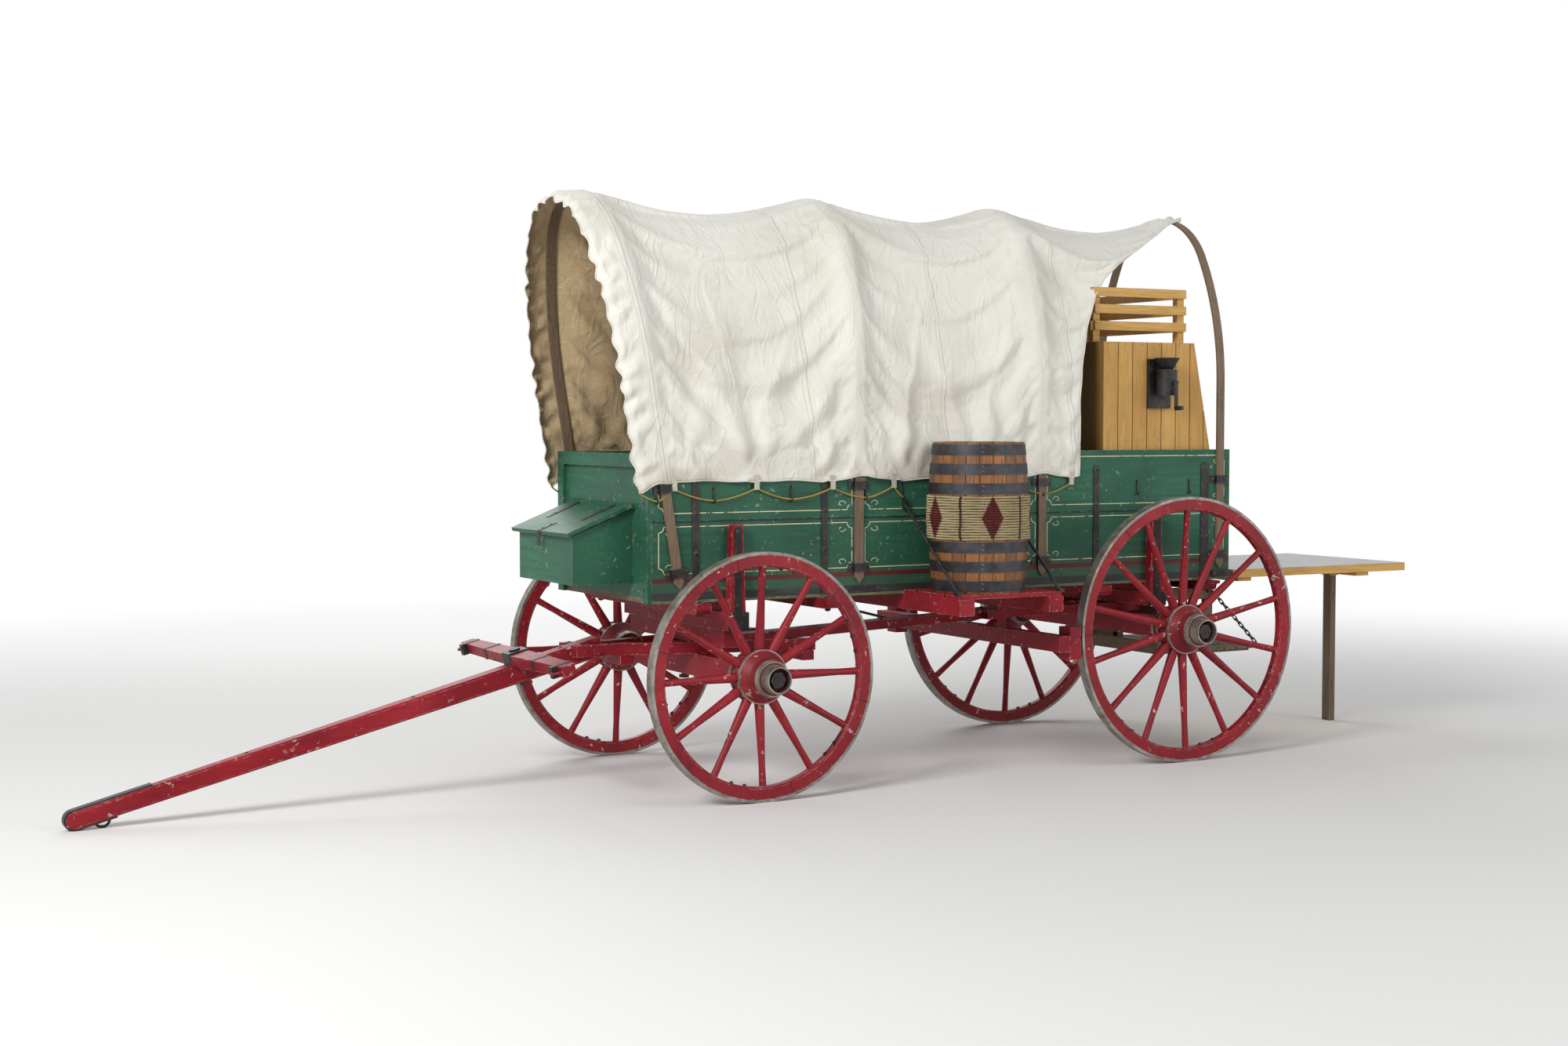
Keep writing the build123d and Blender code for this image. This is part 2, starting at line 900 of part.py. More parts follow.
def sill_end(form):
    """The line of a sill's right-hand end, from its lower edge up to the floor."""
    low = sill_bottom_z
    high = floor_bottom_z
    if form == "flush":
        return [Line((side_outer, low), (side_outer, high))]
    end = side_outer + sill_stub
    if form == "round":
        turn = sill_round * (1 - math.sqrt(0.5))
        corner = ThreePointArc((end - sill_round, low), (end - turn, low + turn), (end, low + sill_round))
        return [corner, Line((end, low + sill_round), (end, high))]
    start = end - sill_ogee_length
    lip_z = high - sill_ogee_lip
    middle = ((start + end) / 2, (low + lip_z) / 2)
    bulge = (lip_z - low) / 6
    hollow = ((start + middle[0]) / 2 + bulge, (low + middle[1]) / 2 - bulge)
    swell = ((middle[0] + end) / 2 - bulge, (middle[1] + lip_z) / 2 + bulge)
    return [
        ThreePointArc((start, low), hollow, middle),
        ThreePointArc(middle, swell, (end, lip_z)),
        Line((end, lip_z), (end, high)),
    ]


def box_sills():
    sills = []
    for sill_x, form, _ in sill_table:
        right = sill_end(form)
        low_y = right[0].position_at(0).X
        high_y = right[-1].position_at(1).X
        low = (low_y, sill_bottom_z)
        rest = Polyline((high_y, floor_bottom_z), (0, floor_bottom_z), (0, sill_bottom_z), low)
        face = make_face(Plane.YZ * joined(*right, rest))
        low_x = sill_x - sill_width / 2
        half = cross_profile(face, low_x, low_x + sill_width)
        sills.append(half + mirrored(half))
    return sills


def barrel_shelf():
    pieces = []
    low_z = floor_bottom_z - outrigger_height
    for beam_x in outrigger_places:
        low_x = beam_x - outrigger_width / 2
        high_x = low_x + outrigger_width
        right_y = side_outer + outrigger_right_proud
        pieces.append(block(low_x, high_x, -outrigger_length, right_y, low_z, floor_bottom_z))
    front = outrigger_places[0] - outrigger_width / 2
    rear = outrigger_places[1] + outrigger_width / 2
    top_z = floor_bottom_z + shelf_board
    for index in range(4):
        near = -(side_outer + strip_proud + shelf_side_gap + index * (shelf_board_width + shelf_board_gap))
        pieces.append(block(front, rear, near - shelf_board_width, near, floor_bottom_z, top_z))
    return pieces[0].fuse(*pieces[1:])


def side_strap(strap_x, width):
    """A flat iron strap up the right-hand side, from the sill's end to near the top."""
    top_z = box_top_z - strap_top_drop
    half = width / 2
    outer = side_outer + strap_thickness
    body = block(strap_x - half, strap_x + half, side_outer, outer, box_bottom_z, top_z)
    return body + across(strap_x, top_z, side_outer, outer, half)


# Plates low on the side: where the front wheel rubs in a tight turn, and at the tail.
side_plates = [(rub_iron_front, rub_iron_length), (tail_plate_front, tail_plate_length)]


def side_plate(front_x, length):
    """A flat iron plate along the foot of the right-hand side, with rounded ends."""
    half = side_plate_height / 2
    middle_z = box_bottom_z + side_plate_rise + half
    start = front_x + half
    end = front_x + length - half
    outer = side_outer + side_plate_thickness
    plate = block(start, end, side_outer, outer, middle_z - half, middle_z + half)
    for round_x in (start, end):
        plate = plate + across(round_x, middle_z, side_outer, outer, half)
    return plate


def bow_staple(bow_x, centre_z):
    """An iron staple over a bow's foot, bolted through the right-hand side by two square ears."""
    half = bow_width / 2 + staple_gap
    depth = bow_side_gap + bow_thickness + staple_gap
    wall = staple_thickness
    outline = [
        (bow_x - half - staple_ear, side_outer),
        (bow_x - half, side_outer),
        (bow_x - half, side_outer + depth),
        (bow_x + half, side_outer + depth),
        (bow_x + half, side_outer),
        (bow_x + half + staple_ear, side_outer),
        (bow_x + half + staple_ear, side_outer + wall),
        (bow_x + half + wall, side_outer + wall),
        (bow_x + half + wall, side_outer + depth + wall),
        (bow_x - half - wall, side_outer + depth + wall),
        (bow_x - half - wall, side_outer + wall),
        (bow_x - half - staple_ear, side_outer + wall),
    ]
    low_z = centre_z - staple_height / 2
    return Pos(0, 0, low_z) * extrude(make_face(Polyline(*outline, close=True)), staple_height)


# Bows: place along x and lean from upright in degrees, towards the front.
bow_table = [(-320, front_bow_lean), (665, 0), (1715, 0), (2840, 0)]
staple_levels = [box_bottom_z + staple_low_rise, box_top_z - staple_high_drop]
bow_outer = side_outer + bow_side_gap + bow_thickness
bow_foot_z = box_bottom_z + bow_foot_rise


def arch(half_width, rise, crown_radius, foot_z):
    """A closed arch on the YZ plane: straight legs, two long side arcs and a tangent crown arc."""
    spring = bow_spring_z
    side_radius = (half_width**2 + rise**2 - 2 * rise * crown_radius) / (2 * (half_width - crown_radius))
    side_centre = half_width - side_radius
    crown_centre = spring + rise - crown_radius
    turn = math.atan2(crown_centre - spring, -side_centre)
    shoulder_y = side_centre + side_radius * math.cos(turn)
    shoulder_z = spring + side_radius * math.sin(turn)
    flank_y = side_centre + side_radius * math.cos(turn / 2)
    flank_z = spring + side_radius * math.sin(turn / 2)
    right_side = ThreePointArc((half_width, spring), (flank_y, flank_z), (shoulder_y, shoulder_z))
    crown = ThreePointArc((shoulder_y, shoulder_z), (0, spring + rise), (-shoulder_y, shoulder_z))
    left_side = ThreePointArc((-shoulder_y, shoulder_z), (-flank_y, flank_z), (-half_width, spring))
    legs = Polyline((-half_width, spring), (-half_width, foot_z), (half_width, foot_z), (half_width, spring))
    return make_face(Plane.YZ * joined(right_side, crown, left_side, legs))


def leaned(shape, bow_x, lean):
    pivot = (bow_x, 0, front_bow_pivot_z)
    return shape.rotate(Axis(pivot, (0, 1, 0)), -lean)


def bow(bow_x, lean):
    rise = bow_top_z - bow_spring_z
    outer = arch(bow_outer, rise, bow_crown_radius, bow_foot_z)
    inner_crown = bow_crown_radius - bow_thickness
    inner = arch(bow_outer - bow_thickness, rise - bow_thickness, inner_crown, bow_foot_z - bow_point)
    half = bow_width / 2
    ring = cross_profile(outer, bow_x - half, bow_x + half)
    ring = ring - cross_profile(inner, bow_x - half - 1, bow_x + half + 1)
    for side in (-1, 1):
        corner = [
            (bow_x + side * half, bow_foot_z - 1),
            (bow_x + side * half, bow_foot_z + bow_point),
            (bow_x, bow_foot_z - 1),
        ]
        ring = ring - side_profile(corner, -bow_outer - 1, bow_outer + 1)
    return leaned(ring, bow_x, lean)


def box_irons():
    """The straps and bow staples of the right-hand side."""
    pieces = [side_strap(sill_x, width) for sill_x, _, width in sill_table if width]
    pieces = pieces + [side_plate(front_x, length) for front_x, length in side_plates]
    for bow_x, lean in bow_table:
        for level in staple_levels:
            pieces.append(leaned(bow_staple(bow_x, level), bow_x, lean))
    pieces.append(table_hinge_ear())
    return pieces


def table_hinge_ear():
    """The iron ear on the end of the floor that carries the table's hinge rod."""
    inner_y = table_half_width + hinge_side_gap
    low = table_hinge_z - ear_half
    high = table_hinge_z + ear_half
    step_x = chuck_bottom_rear_x + table_clear
    outline = [
        (box_rear_x, floor_bottom_z),
        (table_hinge_x + ear_half, low),
        (table_hinge_x + ear_half, high),
        (step_x, high),
        (step_x, floor_top_z - hinge_side_gap),
        (box_rear_x, floor_top_z - hinge_side_gap),
    ]
    return side_profile(outline, inner_y, inner_y + ear_thickness)


# Bonnet: the cloth lies on both edges of each bow and sags between the bows.

# The drawstring pulls the front edge in: share of the reach ahead of the bow, share of the draw.
draw_table = [(1.0, 1.0), (0.86, 0.4), (0.65, 0.05)]


def bonnet_ribs():
    """Each rib as its place along x, the place and degrees of its lean, its sag and its draw."""
    half = bow_width / 2
    first_x, first_lean = bow_table[0]
    last_x, last_lean = bow_table[-1]
    ribs = []
    for reach_share, draw_share in draw_table:
        rib_x = first_x - bonnet_front_reach * reach_share
        ribs.append((rib_x, first_x, first_lean, 0, bonnet_draw_in * draw_share))
    for (before_x, before_lean), (after_x, after_lean) in zip(bow_table, bow_table[1:]):
        middle = (before_x + after_x) / 2
        ribs.append((before_x - half, before_x, before_lean, 0, 0))
        ribs.append((before_x + half, before_x, before_lean, 0, 0))
        ribs.append((middle, middle, (before_lean + after_lean) / 2, bonnet_sag, 0))
    ribs.append((last_x - half, last_x, last_lean, 0, 0))
    ribs.append((last_x + half, last_x, last_lean, 0, 0))
    ribs.append((last_x + bonnet_rear_reach, last_x, last_lean, bonnet_sag / 3, 0))
    return ribs


def bonnet_section(rib_x, pivot_x, lean, sag, draw, skin):
    """The cloth's outline at one rib, its inner side or, with its thickness, its outer side."""
    out = bonnet_gap + skin
    pulled_in = draw + sag * bonnet_side_sag / bonnet_sag
    half = bow_outer + out - pulled_in
    rise = bow_top_z - bow_spring_z + out - sag - draw
    face = arch(half, rise, bow_crown_radius + out - pulled_in, box_top_z - bonnet_hem_drop)
    return leaned(Pos(rib_x, 0, 0) * face, pivot_x, lean)


def bonnet():
    """The canvas: an outer skin less an inner one, with the tail's sides cut away."""
    skins = []
    for skin in (bonnet_thickness, 0):
        sections = [bonnet_section(*rib, skin) for rib in bonnet_ribs()]
        skins.append(loft(sections, ruled=True))
    cloth = skins[0] - skins[1]
    rear = bow_table[-1][0] + bonnet_rear_reach + cutaway_over
    low = box_top_z - bonnet_hem_drop - cutaway_under
    hem = (cutaway_hem_x, low)
    shoulder = (cutaway_shoulder_x, cutaway_shoulder_z)
    top = (cutaway_top_x, bow_top_z - cutaway_top_drop)
    bend = (cutaway_hem_x + cutaway_low_bow, (low + cutaway_shoulder_z) / 2 + cutaway_low_lift)
    lower_arc = ThreePointArc(hem, bend, shoulder)
    upper_arc = ThreePointArc(shoulder, (cutaway_mid_x, cutaway_mid_z), top)
    close = Polyline(top, (rear, bow_top_z - cutaway_end_drop), (rear, low), hem)
    window = make_face(Plane.XZ * joined(lower_arc, upper_arc, close))
    reach_y = bow_outer + board * 8
    window = Pos(0, reach_y, 0) * extrude(window, amount=2 * reach_y, dir=(0, -1, 0))
    return cloth - window


# Chuck box

def chuck_rear_x_at(z):
    """The rear edge of the chuck box at height z, on its straight sloping back."""
    share = (z - floor_top_z) / (chuck_top_z - floor_top_z)
    return chuck_bottom_rear_x + (chuck_top_rear_x - chuck_bottom_rear_x) * share


def chuck_outline(inset_front, inset_bottom, inset_top):
    low = floor_top_z + inset_bottom
    high = chuck_top_z - inset_top
    front = chuck_front_x + inset_front
    return [(front, low), (chuck_rear_x_at(low), low), (chuck_rear_x_at(high), high), (front, high)]


def chuck_joints():
    """The grooves between the upright boards of both ends."""
    count = int((chuck_bottom_rear_x - chuck_front_x) / chuck_joint_pitch)
    grooves = []
    for index in range(1, count + 1):
        low_x = chuck_front_x + index * chuck_joint_pitch
        for side in (-1, 1):
            deep = side * (chuck_half - chuck_joint_depth)
            out = side * (chuck_half + 1)
            low_y = min(deep, out)
            high_y = max(deep, out)
            grooves.append(
                block(low_x, low_x + chuck_joint_width, low_y, high_y, floor_top_z - 1, chuck_top_z + 1)
            )
    return grooves


def chuck_box():
    """The carcass: bottom, top, front wall and two boarded ends, open to the rear."""
    carcass = side_profile(chuck_outline(0, 0, 0), -chuck_half, chuck_half)
    low = floor_top_z + chuck_board
    high = chuck_top_z - chuck_board
    front = chuck_front_x + chuck_board
    inner = side_profile(
        [(front, low), (chuck_bottom_rear_x + 1, low), (chuck_bottom_rear_x + 1, high), (front, high)],
        -chuck_half + chuck_board,
        chuck_half - chuck_board,
    )
    return (carcass - inner).cut(*chuck_joints())


# Shelves of the chuck box: height of each row's floor and how many openings the row has.
chuck_rows = [
    (floor_top_z + chuck_board, 2),
    (chuck_second_row_z, 3),
    (chuck_third_row_z, 3),
    (chuck_fourth_row_z, 4),
]


def chuck_row_top(index):
    if index + 1 < len(chuck_rows):
        return chuck_rows[index + 1][0] - chuck_board
    return chuck_top_z - chuck_board


def chuck_shelves():
    pieces = []
    inner_half = chuck_half - chuck_board
    front = chuck_front_x + chuck_board
    for index, (low, count) in enumerate(chuck_rows):
        high = chuck_row_top(index)
        if index:
            points = [
                (front, low - chuck_board),
                (chuck_rear_x_at(low - chuck_board) - chuck_shelf_rebate, low - chuck_board),
                (chuck_rear_x_at(low) - chuck_shelf_rebate, low),
                (front, low),
            ]
            pieces.append(side_profile(points, -inner_half, inner_half))
        width = (2 * inner_half - (count - 1) * chuck_board) / count
        for wall in range(1, count):
            near = -inner_half + wall * width + (wall - 1) * chuck_board
            points = [
                (front, low),
                (chuck_rear_x_at(low) - chuck_shelf_rebate, low),
                (chuck_rear_x_at(high) - chuck_shelf_rebate, high),
                (front, high),
            ]
            pieces.append(side_profile(points, near, near + chuck_board))
    return pieces[0].fuse(*pieces[1:])


def crows_nest():
    """The slatted rack on the chuck box: corner posts and three rows of slats all round."""
    pieces = []
    low = chuck_top_z
    high = low + rack_post_height
    rear = min(rack_rear_x, chuck_top_rear_x)
    front = max(rack_front_x, chuck_front_x)
    half = rack_half_width
    for post_x in (front, rear - rack_post):
        for post_y in (-half, half - rack_post):
            pieces.append(block(post_x, post_x + rack_post, post_y, post_y + rack_post, low, high))
    for row in range(3):
        slat_low = high - rack_slat - row * (rack_slat + rack_slat_gap)
        slat_high = slat_low + rack_slat
        for side_y in (-half - rack_slat_thickness, half):
            pieces.append(block(front, rear, side_y, side_y + rack_slat_thickness, slat_low, slat_high))
        for end_x in (front - rack_slat_thickness, rear):
            pieces.append(block(end_x, end_x + rack_slat_thickness, -half, half, slat_low, slat_high))
    return pieces[0].fuse(*pieces[1:])


def coffee_mill():
    """A box mill on a board on the left end of the chuck box, with its hopper and crank."""
    wall_y = -chuck_half
    plate_y = wall_y - mill_plate_thickness
    body_y = wall_y - mill_stand_off
    crank_y = wall_y - mill_crank_reach
    plate_half = mill_plate_width / 2
    plate_low = mill_z - mill_plate_below
    plate_high = mill_z + mill_plate_above
    plate = block(mill_x - plate_half, mill_x + plate_half, plate_y, wall_y, plate_low, plate_high)
    body = Pos(mill_x, body_y, mill_z) * Cylinder(mill_radius, mill_height)
    half = mill_bracket / 2
    rise = mill_bracket_height / 2
    bracket = block(mill_x - half, mill_x + half, body_y, plate_y, mill_z - rise, mill_z + rise)
    hopper_z = mill_z + (mill_height + mill_hopper_height) / 2
    hopper = Pos(mill_x, body_y, hopper_z) * Cone(mill_hopper_foot, mill_hopper_mouth, mill_hopper_height)
    hub = across(mill_x, mill_z, crank_y, wall_y - mill_crank_start, mill_crank_radius)
    crank_half = mill_crank_width / 2
    crank_end_y = crank_y + mill_crank_thickness
    crank_low = mill_z - mill_crank_length
    crank = block(mill_x - crank_half, mill_x + crank_half, crank_y, crank_end_y, crank_low, mill_z)
    knob_z = crank_low + mill_knob_radius
    knob = across(mill_x, knob_z, crank_end_y - mill_knob_length, crank_end_y, mill_knob_radius)
    return plate.fuse(bracket, body, hopper, hub, crank, knob)


def table():
    board_low = table_top_z - table_sheet - table_thickness
    start = table_hinge_x + table_hinge_drop
    top = block(start, table_end_x, -table_half_width, table_half_width, board_low, table_top_z - table_sheet)
    pieces = [top]
    cleat_half = table_half_width - table_cleat_inset
    leg_slot = leg_width / 2 + leg_slot_gap
    near_cleat = start + table_near_cleat
    far_cleat = table_end_x - leg_setback - table_far_cleat
    for cleat_x, low_y, high_y in (
        (near_cleat, -cleat_half, cleat_half),
        (far_cleat, -cleat_half, -leg_slot),
        (far_cleat, leg_slot, cleat_half),
    ):
        cleat_low = board_low - table_cleat_depth
        pieces.append(block(cleat_x, cleat_x + table_cleat_width, low_y, high_y, cleat_low, board_low))
    half = table_half_width
    knuckle = across(table_hinge_x, table_hinge_z, -half, half, table_knuckle_radius)
    web_half = table_web / 2
    web = block(table_hinge_x, start, -half, half, table_hinge_z - web_half, table_hinge_z + web_half)
    return pieces[0].fuse(*pieces[1:], knuckle, web)


def table_sheet_top():
    start = table_hinge_x + table_hinge_drop
    half = table_half_width
    return block(start, table_end_x, -half, half, table_top_z - table_sheet, table_top_z)


# The leg hangs from two ears under the table's far end and folds towards the wagon.
leg_hinge_x = table_end_x - leg_setback
leg_hinge_z = table_top_z - table_sheet - table_thickness - leg_width / 2 - leg_gap


def table_ears():
    board_low = table_top_z - table_sheet - table_thickness
    ears = []
    for side in (-1, 1):
        near = side * (leg_width / 2 + leg_ear_gap)
        far = near + side * leg_ear_thickness
        low_x = leg_hinge_x - leg_ear_half
        high_x = leg_hinge_x + leg_ear_half
        low_z = leg_hinge_z - leg_ear_drop
        ears.append(block(low_x, high_x, min(near, far), max(near, far), low_z, board_low))
    pin_y = leg_width / 2 + leg_pin_end
    pin = across(leg_hinge_x, leg_hinge_z, -pin_y, pin_y, leg_pin_radius)
    return ears[0].fuse(ears[1], pin)


def table_leg():
    half = leg_thickness / 2
    stick = block(leg_hinge_x - half, leg_hinge_x + half, -leg_width / 2, leg_width / 2, 0, leg_hinge_z)
    head = across(leg_hinge_x, leg_hinge_z, -leg_width / 2, leg_width / 2, half)
    hole = across(leg_hinge_x, leg_hinge_z, -leg_width, leg_width, leg_pin_radius + pin_gap)
    return stick + head - hole


# Boot

def boot():
    """The slatted store under the tail: four posts, slatted ends, front and floor."""
    pieces = []
    low = boot_bottom_z
    high = sill_bottom_z
    half = boot_half_width
    for post_x in (boot_front_x, boot_rear_x - boot_post):
        for post_y in (-half, half - boot_post):
            pieces.append(block(post_x, post_x + boot_post, post_y, post_y + boot_post, low, high))
    rows = 4
    pitch = (high - low - boot_slat_width) / (rows - 1)
    for row in range(rows):
        slat_low = low + row * pitch
        slat_high = slat_low + boot_slat_width
        for side_y in (-half, half - boot_slat):
            pieces.append(block(boot_front_x, boot_rear_x, side_y, side_y + boot_slat, slat_low, slat_high))
        pieces.append(block(boot_front_x, boot_front_x + boot_slat, -half, half, slat_low, slat_high))
    floor_rows = 5
    step = (boot_rear_x - boot_front_x - boot_slat_width) / (floor_rows - 1)
    for row in range(floor_rows):
        slat_x = boot_front_x + row * step
        pieces.append(block(slat_x, slat_x + boot_slat_width, -half, half, low, low + boot_slat))
    rail = block(boot_front_x, boot_rear_x, -half, -half + boot_post, high - boot_post, high)
    ear_y = boot_door_half + hinge_side_gap
    ear_end = boot_hinge_x + boot_door_thickness / 2
    ear = block(boot_rear_x, ear_end, ear_y, ear_y + ear_thickness, low, low + boot_door_thickness)
    anchor = across(chain_anchor_x, chain_anchor_z, half - 1, chain_inner_y, chain_eye_radius)
    for piece in (rail, ear, anchor):
        pieces.append(piece)
        pieces.append(mirrored(piece))
    return pieces[0].fuse(*pieces[1:])


boot_hinge_x = boot_rear_x + boot_door_gap + boot_door_thickness / 2
boot_hinge_z = boot_bottom_z + boot_door_thickness / 2
boot_door_length = sill_bottom_z - boot_bottom_z - boot_door_drop
boot_door_half = boot_half_width - boot_door_inset


def boot_door():
    """The drop door, open and level, with its hinge rod and the two chain eyes at its outer end."""
    low = boot_hinge_z - boot_door_thickness / 2
    start = boot_hinge_x
    end = boot_hinge_x + boot_door_length - boot_door_thickness / 2
    pieces = [
        across(boot_hinge_x, boot_hinge_z, -boot_door_half, boot_door_half, boot_door_thickness / 2),
    ]
    half = boot_door_half
    rows = 4
    gap = boot_door_slat_gap
    width = (end - start - gap * (rows - 1)) / rows
    for row in range(rows):
        slat_x = start + row * (width + gap)
        pieces.append(block(slat_x, slat_x + width, -half, half, low, low + boot_door_thickness))
    cleat_y = half - boot_cleat_inset
    cleat = block(
        start + boot_cleat_end,
        end - boot_cleat_end,
        cleat_y - boot_cleat_width,
        cleat_y,
        low - boot_cleat_thickness,
        low,
    )
    eye = across(end - chain_eye_setback, boot_hinge_z, half - 1, chain_inner_y, chain_eye_radius)
    for piece in (cleat, eye):
        pieces.append(piece)
        pieces.append(mirrored(piece))
    return pieces[0].fuse(*pieces[1:])


chain_y = boot_half_width + chain_out
chain_inner_y = chain_y - chain_wire / 2 - chain_side_gap
chain_anchor_x = boot_rear_x - chain_anchor_setback
chain_eye_x = boot_hinge_x + boot_door_length - boot_door_thickness / 2 - chain_eye_setback


def boot_chain():
    """The right-hand chain: links in turn flat and upright, from the sill to the door's eye."""
    start = Vector(chain_anchor_x, chain_y, chain_anchor_z)
    end = Vector(chain_eye_x, chain_y, boot_hinge_z)
    length = (end - start).length
    count = 2 * round((length / chain_link_pitch - 1) / 2) + 1
    pitch = length / count
    direction = (end - start).normalized()
    links = []
    for index in range(count):
        centre = start + direction * (pitch * (index + 0.5))
        upright = index % 2 == 0
        side = Vector(0, 1, 0)
        normal = side if upright else direction.cross(side)
        plane = Plane(origin=centre, x_dir=direction, z_dir=normal)
        long = pitch + chain_wire * 1.6
        wide = chain_link_width if upright else chain_wire * 2.2
        link = extrude(plane * SlotOverall(long, wide), chain_wire / 2, both=True)
        links.append(link)
    return links[0].fuse(*links[1:])


# Jockey box

jockey_rear_x = box_front_x
jockey_front_x = box_front_x - jockey_depth
jockey_slope = math.degrees(math.atan2(jockey_rear_height - jockey_front_height, jockey_depth))


def jockey_box():
    """The tool box on the front board, open at its sloping top."""
    outline = [
        (jockey_rear_x, jockey_bottom_z),
        (jockey_rear_x, jockey_bottom_z + jockey_rear_height),
        (jockey_front_x, jockey_bottom_z + jockey_front_height),
        (jockey_front_x, jockey_bottom_z),
    ]
    body = side_profile(outline, -jockey_half_width, jockey_half_width)
    inner = block(
        jockey_front_x + jockey_board,
        jockey_rear_x - jockey_board,
        -jockey_half_width + jockey_board,
        jockey_half_width - jockey_board,
        jockey_bottom_z + jockey_board,
        jockey_bottom_z + jockey_rear_height + 1,
    )
    return body - inner


jockey_hinge_x = jockey_rear_x - jockey_hinge_setback
jockey_hinge_z = jockey_bottom_z + jockey_rear_height + jockey_hinge_rise


def jockey_lid():
    """The sloping lid with its hinge rod, drawn flat and laid on the slope."""
    length = jockey_depth / math.cos(math.radians(jockey_slope)) + jockey_lid_overhang
    half = jockey_half_width + jockey_lid_overhang
    slab = block(-length, -jockey_lid_back, -half, half, -jockey_lid_board / 2, jockey_lid_board / 2)
    rod = across(0, 0, -half, half, jockey_rod_radius)
    web = block(-jockey_lid_back - 2, 0, -half, half, -jockey_web / 2, jockey_web / 2)
    return Pos(jockey_hinge_x, 0, jockey_hinge_z) * Rot(0, -jockey_slope, 0) * slab.fuse(rod, web)


def jockey_knuckles():
    """The hinge plates that carry the lid's rod on the front board."""
    plates = []
    half = jockey_half_width + jockey_lid_overhang
    for side in (-1, 1):
        near = side * (half + hinge_side_gap)
        far = near + side * jockey_ear_thickness
        low_x = jockey_hinge_x - jockey_ear_half
        low_z = jockey_hinge_z - jockey_ear_half
        high_z = jockey_hinge_z + jockey_ear_half
        plates.append(block(low_x, jockey_rear_x, min(near, far), max(near, far), low_z, high_z))
    return plates


# Barrel

barrel_place = Pos(barrel_x, barrel_y, barrel_z)


def barrel_outline(offset):
    """The bulging outside of the barrel, offset outwards, as a face to the barrel's axis."""
    mid = barrel_height / 2
    half_chord = barrel_height / 2
    rise = barrel_bilge_radius - barrel_end_radius
    arc_radius = (half_chord**2 + rise**2) / (2 * rise)
    centre = barrel_bilge_radius - arc_radius
    reach_out = arc_radius + offset
    end = centre + math.sqrt(reach_out**2 - half_chord**2)
    top = barrel_height
    bulge = ThreePointArc((end, 0), (centre + reach_out, mid), (end, top))
    close = Polyline((end, top), (0, top), (0, 0), (end, 0))
    return revolve(make_face(Plane.XZ * joined(bulge, close)), Axis.Z, 360)


def barrel_joints():
    """The open edges between the staves, as deep as they show."""
    skin = barrel_outline(1) - barrel_outline(-barrel_joint_depth)
    reach_out = 3 * barrel_bilge_radius
    slab = Pos(0, 0, barrel_height / 2) * Box(reach_out, barrel_joint_width, barrel_height)
    turns = [Rot(0, 0, turn * 360 / barrel_stave_count) * slab for turn in range(barrel_stave_count // 2)]
    return [skin & turned_slab for turned_slab in turns]


def barrel():
    """The staved barrel with its sunk head."""
    recess = Pos(0, 0, barrel_height) * Cylinder(barrel_end_radius - barrel_stave, 2 * barrel_chime)
    return barrel_place * (barrel_outline(0) - recess).cut(*barrel_joints())


# Barrel hoops: height of each hoop's lower edge, and of the woven band's two edges.
hoop_levels = [8, 98, 188, 460, 550, 640]
wrap_levels = (248, 452)


def barrel_hoops():
    shell = barrel_outline(hoop_gap + hoop_thickness) - barrel_outline(hoop_gap)
    hoops = []
    reach_out = 3 * barrel_bilge_radius
    for level in hoop_levels:
        slab = Pos(0, 0, level + hoop_width / 2) * Box(reach_out, reach_out, hoop_width)
        hoops.append(barrel_place * (shell & slab))
    return hoops


def barrel_wrap():
    shell = barrel_outline(hoop_gap + wrap_thickness) - barrel_outline(hoop_gap)
    low, high = wrap_levels
    reach_out = 3 * barrel_bilge_radius
    slab = Pos(0, 0, (low + high) / 2) * Box(reach_out, reach_out, high - low)
    return barrel_place * (shell & slab)


def barrel_rods():
    """The two stay rods that run from the shelf's outer corners up to the box's left side."""
    rods = []
    foot_y = -outrigger_length + rod_foot_inset
    foot_z = floor_bottom_z + shelf_board
    head_y = -side_outer
    head_z = box_top_z - rod_head_drop
    clip = rod_clip / 2
    foot_half = rod_foot_length / 2
    head_half = rod_head_height / 2
    for beam_x, side in ((outrigger_places[0], -1), (outrigger_places[1], 1)):
        rod_x = beam_x + side * (outrigger_width / 2 - rod_edge_inset)
        low = (rod_x, foot_y, foot_z + rod_foot_lift)
        rod = round_bar(low, (rod_x, head_y - rod_head_seat, head_z), rod_radius)
        foot_top = foot_z + rod_foot_lift + rod_radius
        foot = block(rod_x - clip, rod_x + clip, foot_y - foot_half, foot_y + foot_half, foot_z, foot_top)
        head_low = head_z - head_half
        head_high = head_z + head_half
        head = block(rod_x - clip, rod_x + clip, head_y - rod_head_depth, head_y, head_low, head_high)
        rods.append(rod + foot + head)
    return rods


# Brake: the beam swings on two hangers below a sill, and its blocks face the rear tyres.

brake_pivot_z = sill_bottom_z - brake_pivot_drop
brake_beam_z = brake_pivot_z - brake_beam_drop
brake_face_x = wheel_base - rear_wheel_radius - brake_clear


